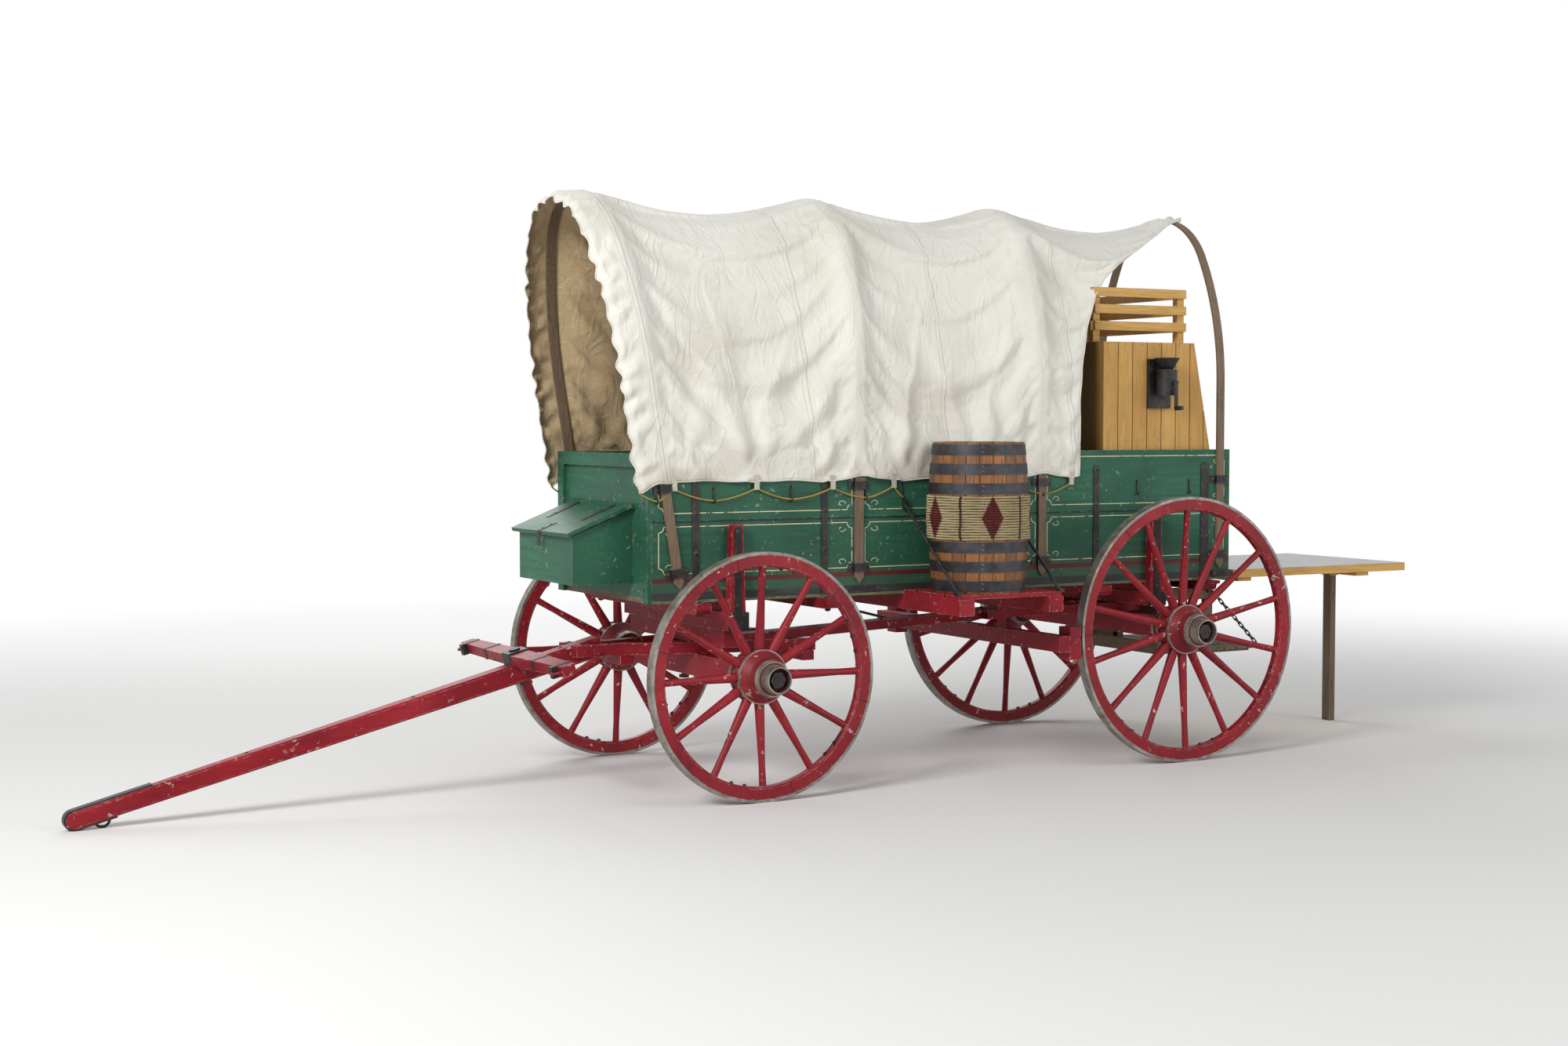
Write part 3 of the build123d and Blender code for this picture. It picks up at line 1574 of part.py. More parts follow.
def brake_beam():
    """The cross beam with its two blocks, hollowed to the tyres, and its two hangers."""
    beam_x = brake_sill_x
    half_w = brake_beam_width / 2
    half_h = brake_beam_height / 2
    low_z = brake_beam_z - half_h
    high_z = brake_beam_z + half_h
    pieces = [block(beam_x - half_w, beam_x + half_w, -brake_beam_half, brake_beam_half, low_z, high_z)]
    space_low = track_half - brake_shoe_width
    space_high = track_half + brake_shoe_width
    tyre_space = across(wheel_base, rear_axle_z, space_low, space_high, rear_wheel_radius + brake_clear)
    shoe = block(
        beam_x + half_w,
        brake_face_x + brake_shoe_reach,
        track_half - brake_shoe_width / 2,
        track_half + brake_shoe_width / 2,
        brake_beam_z - brake_shoe_height / 2,
        brake_beam_z + brake_shoe_height / 2,
    )
    shoe = shoe - tyre_space
    hanger_low = brake_hanger_y - brake_hanger_thickness / 2
    hanger_high = brake_hanger_y + brake_hanger_thickness / 2
    hanger_half = brake_hanger_width / 2
    hanger = block(
        beam_x - hanger_half, beam_x + hanger_half, hanger_low, hanger_high, high_z, brake_pivot_z
    )
    head = across(beam_x, brake_pivot_z, hanger_low, hanger_high, hanger_half)
    hole = across(beam_x, brake_pivot_z, hanger_low - 1, hanger_high + 1, lever_pin_radius + pin_gap)
    hanger = hanger + head - hole
    for piece in (shoe, hanger):
        pieces.append(piece)
        pieces.append(mirrored(piece))
    return pieces[0].fuse(*pieces[1:])


def brake_brackets():
    """Ears below the sill that carry the two hangers' pins, and the lever's pin on the right side."""
    pieces = []
    beam_x = brake_sill_x
    inner = brake_hanger_thickness / 2 + brake_ear_gap
    low_x = beam_x - brake_ear_half
    high_x = beam_x + brake_ear_half
    for centre_y in (-brake_hanger_y, brake_hanger_y):
        ears = []
        for side in (-1, 1):
            near = centre_y + side * inner
            far = centre_y + side * (inner + brake_ear_thickness)
            low_z = brake_pivot_z - brake_ear_half
            ears.append(block(low_x, high_x, min(near, far), max(near, far), low_z, sill_bottom_z))
        reach_y = inner + brake_pin_end
        pin = across(beam_x, brake_pivot_z, centre_y - reach_y, centre_y + reach_y, lever_pin_radius)
        pieces.append(ears[0].fuse(ears[1], pin))
    return pieces


lever_y = side_outer + lever_stand_off


def lever_bracket():
    """A plate on the lower side with the pin that the brake lever turns on."""
    inner = side_outer + strip_proud
    low_z = lever_pivot_z - lever_plate_drop
    half = lever_plate_half
    plate = block(lever_x - half, lever_x + half, inner, inner + lever_plate_thickness, low_z, box_bottom_z)
    boss = across(lever_x, lever_pivot_z, inner, lever_y - 1, lever_pin_radius + lever_boss_wall)
    pin_end = lever_y + lever_thickness + lever_pin_end
    pin = across(lever_x, lever_pivot_z, inner, pin_end, lever_pin_radius)
    return plate + boss + pin


def brake_lever():
    low = lever_pivot_z - lever_arm
    high = lever_pivot_z + lever_length
    half = lever_width / 2
    near = lever_y
    far = lever_y + lever_thickness
    top_half = half * lever_top_share
    taper_z = lever_pivot_z + lever_taper_start
    points = [
        (lever_x - half, low),
        (lever_x + half, low),
        (lever_x + half, taper_z),
        (lever_x + top_half, high),
        (lever_x - top_half, high),
        (lever_x - half, taper_z),
    ]
    arm = side_profile(points, near, far)
    hole = across(lever_x, lever_pivot_z, near - 1, far + 1, lever_pin_radius + pin_gap)
    grip = Pos(lever_x, (near + far) / 2, high) * Sphere(lever_grip_radius)
    eye = across(lever_x, low, near, far, half)
    rod_pin = across(lever_x, low, far - 1, far - 1 + rod_pin_length, rod_pin_radius)
    return (arm + grip + eye - hole) + rod_pin


rod_y = lever_y + lever_thickness + brake_rod_gap


def brake_rod():
    """The rod from the lever's lower end back to the beam, with an eye at each end."""
    middle_y = rod_y + brake_rod_eye_width / 2
    end_y = rod_y + brake_rod_eye_width
    front = (lever_x, middle_y, lever_pivot_z - lever_arm)
    rear = (brake_sill_x - brake_beam_width / 2 - brake_rod_rear_gap, middle_y, brake_beam_z)
    pieces = [round_bar(front, rear, brake_rod_radius)]
    for place in (front, rear):
        pieces.append(across(place[0], place[2], rod_y, end_y, brake_rod_eye_radius))
    rod = pieces[0].fuse(*pieces[1:])
    return rod - across(lever_x, front[2], rod_y - 1, end_y + 1, rod_pin_radius + pin_gap)


# The nodes

nodes = {}


def both(shape):
    return [shape, mirrored(shape)]


for axle_name, axle_x, axle_z, wheel_radius, count in (
    ("front", 0, front_axle_z, front_wheel_radius, front_spoke_count),
    ("rear", wheel_base, rear_axle_z, rear_wheel_radius, rear_spoke_count),
):
    wood = on_axle(wooden_wheel(wheel_radius, count), axle_x, axle_z)
    irons = [on_axle(iron, axle_x, axle_z) for iron in [iron_tyre(wheel_radius), *hub_irons()]]
    nodes[f"wheel_{axle_name}_right"] = [wood]
    nodes[f"wheel_{axle_name}_left"] = [mirrored(wood)]
    nodes[f"tyre_{axle_name}_right"] = irons
    nodes[f"tyre_{axle_name}_left"] = [mirrored(iron) for iron in irons]
    nodes[f"skeins_{axle_name}"] = both(on_axle(skein(), axle_x, axle_z))

axle_low_z = front_axle_z - axle_height / 2
nodes["front_axle"] = [axle_tree(0, front_axle_z) - king_bolt_hole(axle_low_z, front_layer_z)]
sand_half = axle_width / 2
sand_top_z = sand_board_z + sand_board_height
sand_board = block(-sand_half, sand_half, -sand_board_half, sand_board_half, sand_board_z, sand_top_z)
nodes["sand_board"] = [sand_board - king_bolt_hole(sand_board_z, sand_top_z)]
nodes["front_hounds"] = [front_hounds()]
nodes["front_bolster"] = [bolster(0, front_bolster_z) - king_bolt_hole(front_bolster_z, bolster_top_z)]
nodes["reach"] = [reach() - king_bolt_hole(front_layer_z, sand_board_z)]
king_head = Cylinder(king_bolt_head_radius, king_bolt_head)
nodes["king_bolt"] = [king_bolt_shank + Pos(0, 0, king_bolt_bottom_z + king_bolt_head / 2) * king_head]
nodes["rear_axle"] = [axle_tree(wheel_base, rear_axle_z)]
nodes["rear_bolster"] = [bolster(wheel_base, rear_bolster_z)]
nodes["rear_hounds"] = rear_hounds()

nodes["pole"] = [pole()]
nodes["pole_irons"] = pole_irons()
nodes["doubletree"] = [doubletree()]

nodes["box_floor"] = [box_floor()]
nodes["box_strips"] = box_strips()
nodes["box_sills"] = box_sills()
nodes["box_side_right"] = [box_side()]
nodes["box_side_left"] = [mirrored(box_side())]
nodes["box_front"] = [box_front()]
irons_right = box_irons()
nodes["box_irons_right"] = irons_right
nodes["box_irons_left"] = [mirrored(iron) for iron in irons_right]
for number, (bow_x, lean) in enumerate(bow_table, 1):
    nodes[f"bow_{number}"] = [bow(bow_x, lean)]


nodes["bonnet"] = [bonnet()]
nodes["chuck_box"] = [chuck_box()]
nodes["chuck_shelves"] = [chuck_shelves()]
nodes["crows_nest"] = [crows_nest()]
nodes["coffee_mill"] = [coffee_mill()]
nodes["jockey_box"] = [jockey_box(), *jockey_knuckles()]
nodes["jockey_lid"] = [jockey_lid()]
nodes["table"] = [table(), table_ears()]
nodes["table_sheet"] = [table_sheet_top()]
nodes["table_leg"] = [table_leg()]
nodes["boot"] = [boot()]
nodes["boot_door"] = [boot_door()]
nodes["boot_chains"] = both(boot_chain())
nodes["barrel"] = [barrel()]
nodes["barrel_hoops"] = barrel_hoops()
nodes["barrel_wrap"] = [barrel_wrap()]
nodes["barrel_shelf"] = [barrel_shelf()]
nodes["barrel_rods"] = barrel_rods()
nodes["brake_brackets"] = [*brake_brackets(), lever_bracket()]
nodes["brake_beam"] = [brake_beam()]
nodes["brake_lever"] = [brake_lever()]
nodes["brake_rod"] = [brake_rod()]

os.makedirs("parts", exist_ok=True)
for name, shapes in nodes.items():
    solids = [solid for shape in shapes for solid in shape.solids()]
    placed = [Pos(frame_shift, 0, 0) * solid for solid in solids]
    export_step(placed[0] if len(placed) == 1 else Compound(placed), f"parts/{name}.step")
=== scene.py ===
"""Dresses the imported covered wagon: canvas, old paint, timber, iron, rope, striping, ties and bolts."""

import logging
import math
from collections.abc import Callable, Iterable, Sequence
from dataclasses import dataclass, field
from enum import Enum
from functools import cache
from typing import Protocol

import bmesh
import bpy
import numpy as np
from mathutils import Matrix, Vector


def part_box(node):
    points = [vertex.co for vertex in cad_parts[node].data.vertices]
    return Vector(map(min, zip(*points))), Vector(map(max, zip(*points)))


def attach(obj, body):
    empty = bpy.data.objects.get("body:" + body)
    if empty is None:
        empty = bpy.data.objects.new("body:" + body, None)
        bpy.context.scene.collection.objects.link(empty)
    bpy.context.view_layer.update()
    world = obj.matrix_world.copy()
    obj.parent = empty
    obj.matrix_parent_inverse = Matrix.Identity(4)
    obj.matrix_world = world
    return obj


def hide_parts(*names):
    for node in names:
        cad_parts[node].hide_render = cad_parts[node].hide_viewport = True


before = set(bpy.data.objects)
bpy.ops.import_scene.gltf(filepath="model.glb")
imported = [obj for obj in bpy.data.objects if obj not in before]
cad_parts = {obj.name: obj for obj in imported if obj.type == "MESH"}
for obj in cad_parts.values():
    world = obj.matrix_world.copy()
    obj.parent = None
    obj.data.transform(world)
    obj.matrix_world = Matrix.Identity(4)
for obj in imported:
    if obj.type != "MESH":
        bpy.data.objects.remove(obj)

LOG = logging.getLogger("covered_wagon")

Colour = tuple[float, float, float]
Point = tuple[float, float, float]
Flat = tuple[float, float]
HeadRow = tuple[Point, Point, float]
Material = bpy.types.Material
Mesh = bpy.types.Mesh
Node = bpy.types.Node
Object = bpy.types.Object
Socket = bpy.types.NodeSocket
Inputs = dict[str | int, object]
Places = tuple[float, ...]

SEED = 7
LEFT = -1
RIGHT = 1
SIDE_NAMES = {LEFT: "left", RIGHT: "right"}
UP = (0.0, 0.0, 1.0)
DOWN = (0.0, 0.0, -1.0)
FORWARD = (-1.0, 0.0, 0.0)


@dataclass(frozen=True)
class Plan:
    """The wagon's own places in metres, measured rearwards from the front axle as a wagon maker would."""

    shift: float = -0.664478
    side_outer: float = 0.5025
    box_front: float = -0.410
    track_half: float = 0.7875
    rear_axle: float = 2.400
    front_radius: float = 0.559
    rear_radius: float = 0.6605
    strap_places: Places = (-0.190, 0.480, 2.050)
    corner_strap: float = 2.745
    bow_places: Places = (-0.320, 0.665, 1.715, 2.840)
    staple_levels: Places = (1.010, 1.395)
    front_lean: float = 9.0
    lean_pivot: float = 1.240

    def x(self, place: float) -> float:
        """The shared frame's x of a place along the wagon."""
        return place + self.shift

    def lean_at(self, place: float) -> float:
        """The lean in radians of the front bow and its cloth, which is gone by the second bow."""
        first, second = self.bow_places[:2]
        return math.radians(self.front_lean) * (1 - min(1.0, max(0.0, (place - first) / (second - first))))

    def leaned(self, pivot: float, off: float, level: float) -> Flat:
        """Where a spot is that leans with the bow or the cloth at a place.

        Args:
            pivot: The place along the wagon.
            off: How far the spot is behind it.
            level: The spot's height.

        Returns:
            The shared frame's x and z.
        """
        lean, lift = self.lean_at(pivot), level - self.lean_pivot
        x = self.x(pivot + off * math.cos(lean) - lift * math.sin(lean))
        return x, self.lean_pivot + off * math.sin(lean) + lift * math.cos(lean)


PLAN = Plan()


def colour(*parts: int) -> Colour:
    """A screen colour, its three parts 0 to 255, as the linear colour that a shader takes."""
    shares = (part / 255 for part in parts)
    return tuple(share / 12.92 if share <= 0.04045 else ((share + 0.055) / 1.055) ** 2.4 for share in shares)


def shade(paint: Colour, share: float, more: float = 0.0) -> Colour:
    """A darker or lighter tone of a colour."""
    return tuple(min(1.0, part * share + more) for part in paint)


class Paint(Enum):
    """The colours that are used on more than one piece."""

    GEAR_RED = colour(138, 18, 32)
    BOX_GREEN = colour(42, 92, 70)
    CANVAS = colour(230, 227, 217)
    PALE_GROUND = colour(205, 186, 170)
    CREAM = colour(216, 206, 168)
    MAROON = colour(92, 32, 38)
    SLATE = colour(38, 50, 54)
    OLIVE = colour(98, 110, 74)
    BOW_WOOD = colour(128, 108, 88)
    PINE = colour(206, 164, 92)
    GREY_WOOD = colour(120, 104, 84)
    OAK = colour(128, 84, 46)
    BLACK_IRON = colour(34, 34, 36)
    RUST = colour(104, 66, 42)
    TYRE = colour(122, 118, 112)
    CORD = colour(208, 190, 148)
    TIE_ROPE = colour(204, 176, 92)
    TAPE = colour(226, 219, 202)


def adds(operation: str) -> Callable[..., "Value"]:
    """A method of Value that adds the node of a sum to its tree."""
    return lambda first, *second: first.tree.math(operation, first, *second)


class Value:
    """A number, place or colour in a node tree; each sum with it adds a node."""

    __add__ = adds("ADD")
    __sub__ = adds("SUBTRACT")
    __mul__ = adds("MULTIPLY")
    __pow__ = adds("POWER")
    __gt__ = adds("GREATER_THAN")
    __lt__ = adds("LESS_THAN")
    __abs__ = adds("ABSOLUTE")
    fraction = adds("FRACT")

    def __init__(self, tree: "NodeTree", socket: Socket) -> None:
        """Keeps the socket and its tree."""
        self.tree = tree
        self.socket = socket


class NodeTree:
    """A node tree that is built up by short methods."""

    def __init__(self, tree: bpy.types.NodeTree) -> None:
        """Takes the tree."""
        self.tree = tree

    def node(self, kind: str, inputs: Inputs | None = None, **settings: object) -> Node:
        """Adds a node, with its settings and what feeds it.

        Args:
            kind: Blender's name for the node.
            inputs: Numbers, values or sockets, by the input's name or number.
            settings: The node's own properties.

        Returns:
            The new node.
        """
        made = self.tree.nodes.new(kind)
        for key, value in settings.items():
            setattr(made, key, value)
        for key, value in (inputs or {}).items():
            source = value.socket if isinstance(value, Value) else value
            if isinstance(source, Socket):
                self.tree.links.new(source, made.inputs[key])
            else:
                made.inputs[key].default_value = source
        return made

    def value(
        self, kind: str, inputs: Inputs | None = None, output: str | int = 0, **settings: object
    ) -> Value:
        """Adds a node and hands back one of its outputs."""
        return Value(self, self.node(kind, inputs, **settings).outputs[output])

    def math(self, operation: str, first: object, second: object = 0.0, clamp: bool = False) -> Value:
        """One sum of two numbers, values or sockets."""
        return self.value("ShaderNodeMath", {0: first, 1: second}, operation=operation, use_clamp=clamp)

    def clear_sight(self) -> Value:
        """What the camera sees, straight or by metal or glass.

        Returns:
            1 for its rays, else 0.
        """
        path = self.node("ShaderNodeLightPath").outputs
        seen = self.math("MAXIMUM", path["Is Camera Ray"], path["Is Glossy Ray"])
        return self.math("MAXIMUM", seen, path["Is Transmission Ray"])


class Shader(NodeTree):
    """A material's node tree."""

    def __init__(self, name: str) -> None:
        """Makes an empty material.

        Args:
            name: Its name.
        """
        self.material = bpy.data.materials.new(name)
        self.material.use_nodes = True
        super().__init__(self.material.node_tree)
        self.tree.nodes.clear()
        self.place = self.value("ShaderNodeTexCoord", output="Object")

    def stretched(self, scale: Point, place: Value | None = None) -> Value:
        """The object's coordinates, each axis times a number of its own."""
        return self.value("ShaderNodeMapping", {"Vector": place or self.place, "Scale": scale})

    def noise(
        self, scale: float, detail: float = 3.0, distortion: float = 0.0, place: Value | None = None
    ) -> Value:
        """Soft noise from 0 to 1."""
        inputs = {"Vector": place or self.place, "Scale": scale, "Detail": detail, "Distortion": distortion}
        return self.value("ShaderNodeTexNoise", inputs, "Fac")

    def ramp(self, value: Value, low: float, high: float) -> Value:
        """A smooth step from 0 at low to 1 at high."""
        inputs = {"Value": value, "From Min": low, "From Max": high}
        return self.value("ShaderNodeMapRange", inputs, interpolation_type="SMOOTHSTEP")

    def mix(self, share: object, first: object, second: object) -> Value:
        """A colour between two, each a plain colour or a value."""
        full = [tone if isinstance(tone, Value) else (*tone, 1.0) for tone in (first, second)]
        return self.value("ShaderNodeMix", {0: share, 6: full[0], 7: full[1]}, 2, data_type="RGBA")

    def axis(self, index: int, place: Value | None = None) -> Value:
        """One coordinate of the object, or of another place."""
        return self.value("ShaderNodeSeparateXYZ", {0: place or self.place}, index)

    def worn_edge(self, radius: float) -> Value:
        """Where the edges are.

        Args:
            radius: How far an edge reaches, in metres.

        Returns:
            1 on edges sharper than that radius, 0 on the flats.
        """
        rounded = self.value("ShaderNodeBevel", {"Radius": radius}, samples=4)
        flat = self.value("ShaderNodeNewGeometry", output="Normal")
        same = self.value("ShaderNodeVectorMath", {0: rounded, 1: flat}, "Value", operation="DOT_PRODUCT")
        return self.ramp(same, 0.985, 0.86)

    def finish(
        self, base: Value, roughness: Value | float, height: Value, depth: float = 0.0012, **rest: float
    ) -> Material:
        """Adds the surface shader and hands back the finished material.

        Args:
            base: The base colour.
            roughness: A number or a value.
            height: What the bump follows.
            depth: The bump's depth in metres.
            rest: More of the shader's own inputs, with _ for each space.

        Returns:
            The material.
        """
        inputs: Inputs = {"Base Color": base, "Roughness": roughness}
        inputs.update((key.replace("_", " "), value) for key, value in rest.items())
        bump = {"Height": height, "Distance": depth, "Strength": 1.0}
        inputs["Normal"] = self.value("ShaderNodeBump", bump)
        surface = self.value("ShaderNodeBsdfPrincipled", inputs)
        self.node("ShaderNodeOutputMaterial", {0: surface})
        return self.material


class Finish(Protocol):
    """What every finish has: a name, and a method that makes its material."""

    name: str

    def build(self) -> Material:
        """Makes the material."""


class Grain(Enum):
    """Which way a timber's grain runs, as the scale of its pattern along x, y and z."""

    ALONG = (0.07, 1.0, 1.0)
    ACROSS = (1.0, 0.07, 1.0)
    UPRIGHT = (1.0, 1.0, 0.07)
    EVEN = (0.6, 0.6, 0.6)


OLD_PAINT_SHINE = 0.22
TIMBER_SHINE = 0.3


@dataclass(frozen=True)
class PaintedTimber:
    """Old oil paint on timber: brushed, a little faded, worn to a pale ground at the edges."""

    name: str
    paint: Colour
    ground: Colour = Paint.PALE_GROUND.value
    grain: Grain = Grain.ALONG
    wear: float = 0.5
    roughness: float = 0.47

    def layers(self, shader: Shader) -> tuple[Value, Value, Value]:
        """The paint's colour, roughness and height.

        Args:
            shader: The material under way.

        Returns:
            Three values: colour, roughness, height.
        """
        streaks = shader.noise(46.0, 5.0, 0.4, place=shader.stretched(self.grain.value))
        clouds = shader.noise(2.6, 4.0)
        darker, lighter = shade(self.paint, 0.62), shade(self.paint, 1.3, 0.012)
        faded = shader.mix(shader.ramp(clouds, 0.3, 0.72), darker, lighter)
        brushed = shader.mix(shader.ramp(streaks, 0.36, 0.7), faded, self.paint)
        chips = shader.noise(38.0, 6.0, 0.6)
        patches = shader.noise(5.5, 2.0)
        scarce = shader.ramp(chips, 0.635, 0.66) * shader.ramp(patches, 0.46, 0.6)
        edges = shader.worn_edge(0.005) * shader.ramp(chips, 0.44, 0.58)
        gone = shader.math("MULTIPLY", shader.math("MAXIMUM", scarce, edges), self.wear, clamp=True)
        base = shader.mix(gone, brushed, self.ground)
        return base, clouds * 0.22 + (self.roughness - 0.1), streaks * 0.5 - gone * 0.4

    def build(self) -> Material:
        """Makes the material."""
        shader = Shader(self.name)
        return shader.finish(*self.layers(shader), Specular_IOR_Level=OLD_PAINT_SHINE)


@dataclass(frozen=True)
class Band:
    """A painted band along the box's side: its lower and upper edge and its colour."""

    low: float
    high: float
    paint: Colour


@dataclass(frozen=True)
class BandedTimber(PaintedTimber):
    """Painted boards with bands of other colours along them and dust towards the bottom."""

    bands: tuple[Band, ...] = ()

    def build(self) -> Material:
        """Makes the material."""
        shader = Shader(self.name)
        base, rough, height = self.layers(shader)
        level = shader.axis(2) + (shader.noise(22.0, 2.0) * 0.0016 - 0.0008)
        worn = shader.ramp(shader.noise(60.0, 4.0, place=shader.stretched(self.grain.value)), 0.28, 0.4)
        for band in self.bands:
            inside = (level > band.low) * (level < band.high)
            base = shader.mix(inside * worn, base, band.paint)
        dust = shader.ramp(level, 1.1, 0.86) * shader.noise(9.0, 4.0)
        base = shader.mix(dust * 0.3, base, Paint.GREY_WOOD.value)
        return shader.finish(base, rough, height, Specular_IOR_Level=OLD_PAINT_SHINE)


@dataclass(frozen=True)
class WheelPaint(PaintedTimber):
    """The paint of a wooden wheel, with the dark joints between its felloes."""

    centre: Flat = (0.0, 0.0)
    felloes: int = 6
    inner: float = 0.49
    turn: float = 0.0

    def build(self) -> Material:
        """Makes the material."""
        shader = Shader(self.name)
        base, rough, height = self.layers(shader)
        across = shader.axis(0) - self.centre[0]
        up = shader.axis(2) - self.centre[1]
        radius = shader.math("SQRT", across**2.0 + up**2.0)
        angle = shader.math("ARCTAN2", up, across) + self.turn
        share = (angle * (self.felloes / math.tau) + 10.0).fraction()
        off = abs(share - 0.5) * (self.inner * math.tau / self.felloes)
        line = shader.ramp(off, 0.0022, 0.0009) * (radius > self.inner)
        base = shader.mix(line, base, Paint.BLACK_IRON.value)
        base = shader.mix(shader.ramp(radius, 0.16, 0.06) * 0.5, base, colour(52, 26, 24))
        return shader.finish(base, rough, height - line * 1.5, Specular_IOR_Level=TIMBER_SHINE)


@dataclass(frozen=True)
class BolsterPaint(PaintedTimber):
    """A bolster's paint, with the black iron straps on the outer faces of its stakes."""

    strap_face: float = 0.5508

    def build(self) -> Material:
        """Makes the material."""
        shader = Shader(self.name)
        base, rough, height = self.layers(shader)
        strap = abs(shader.axis(1)) > self.strap_face
        rust = shader.ramp(shader.noise(30.0, 5.0), 0.5, 0.7)
        iron = shader.mix(rust * 0.4, Paint.BLACK_IRON.value, Paint.RUST.value)
        return shader.finish(shader.mix(strap, base, iron), rough, height, Specular_IOR_Level=OLD_PAINT_SHINE)


@dataclass(frozen=True)
class BareTimber:
    """Unpainted timber: soft figure, fine dark checks, and a tone of its own for each board."""

    name: str
    light: Colour
    dark: Colour
    grain: Grain = Grain.ALONG
    scale: float = 9.0
    roughness: float = 0.62
    figure: float = 0.4
    checked: float = 0.5
    board: float = 0.0
    board_start: float = 0.0

    def build(self) -> Material:
        """Makes the material."""
        shader = Shader(self.name)
        place = shader.place
        if self.board:
            boards = (shader.axis(0) - self.board_start) * (1 / self.board)
            random = shader.node(
                "ShaderNodeTexWhiteNoise", {"W": shader.math("FLOOR", boards)}, noise_dimensions="1D"
            ).outputs
            apart = {0: random["Color"], "Scale": 4.0}
            shift = shader.value("ShaderNodeVectorMath", apart, operation="SCALE")
            place = shader.value("ShaderNodeVectorMath", {0: place, 1: shift}, operation="ADD")
        along = shader.stretched(self.grain.value, place)
        rings = shader.noise(self.scale, 3.0, 0.5, place=along)
        lines = abs((rings * 11.0).fraction() - 0.5) * 2.0
        fine = shader.noise(self.scale * 16, 5.0, place=along)
        base = shader.mix(shader.ramp(lines, 0.2, 1.0) * self.figure, self.light, self.dark)
        base = shader.mix(shader.ramp(fine, 0.45, 0.7) * 0.4, base, self.dark)
        if self.board:
            base = shader.mix(Value(shader, random["Value"]) * 0.42, base, self.dark)
            off = shader.math("SUBTRACT", 0.5, abs(boards.fraction() - 0.5))
            joint = shader.ramp(off * self.board, 0.0042, 0.0018)
            base = shader.mix(joint * 0.75, base, shade(self.dark, 0.3))
        checks = shader.ramp(shader.noise(self.scale * 6, 5.0, place=along), 0.68, 0.71)
        base = shader.mix(checks * self.checked, base, shade(self.dark, 0.25))
        soil = shader.ramp(shader.noise(3.5, 5.0), 0.48, 0.75)
        base = shader.mix(soil * 0.25, base, shade(self.dark, 0.5))
        height = fine * 0.5 - checks * 0.9
        return shader.finish(base, self.roughness, height, Specular_IOR_Level=TIMBER_SHINE)


@dataclass(frozen=True)
class OldIron:
    """Forged iron, black from oil or bare and grey, with rust in its hollows and bright edges."""

    name: str
    base: Colour = Paint.BLACK_IRON.value
    rust: float = 0.35
    metallic: float = 0.55
    roughness: float = 0.5
    bright: float = 0.35

    def build(self) -> Material:
        """Makes the material."""
        shader = Shader(self.name)
        clouds = shader.noise(14.0, 5.0)
        pits = shader.noise(150.0, 4.0)
        tone = shader.mix(shader.ramp(clouds, 0.35, 0.7), self.base, shade(self.base, 1.7, 0.01))
        rusty = shader.ramp(shader.noise(30.0, 6.0, 0.5), 0.5, 0.68) * self.rust
        tone = shader.mix(rusty, tone, Paint.RUST.value)
        tone = shader.mix(shader.worn_edge(0.003) * self.bright, tone, colour(150, 146, 140))
        rough = clouds * 0.3 + (self.roughness - 0.14)
        return shader.finish(tone, rough, pits, 0.0006, Metallic=self.metallic)


@dataclass(frozen=True)
class SheetZinc:
    """Sheet metal with its crystal spangle and fine scratches."""

    name: str = "sheet_zinc"

    def build(self) -> Material:
        """Makes the material."""
        shader = Shader(self.name)
        cells = shader.value("ShaderNodeTexVoronoi", {"Vector": shader.place, "Scale": 46.0}, "Color")
        tone = shader.axis(0, cells)
        base = shader.mix(tone, colour(146, 149, 150), colour(166, 169, 170))
        stains = shader.ramp(shader.noise(5.0, 5.0), 0.45, 0.72)
        base = shader.mix(stains * 0.5, base, colour(116, 112, 104))
        scratches = shader.noise(120.0, 3.0, place=shader.stretched((0.1, 1.0, 1.0)))
        return shader.finish(base, tone * 0.07 + 0.36, scratches, 0.0002, Metallic=0.85)


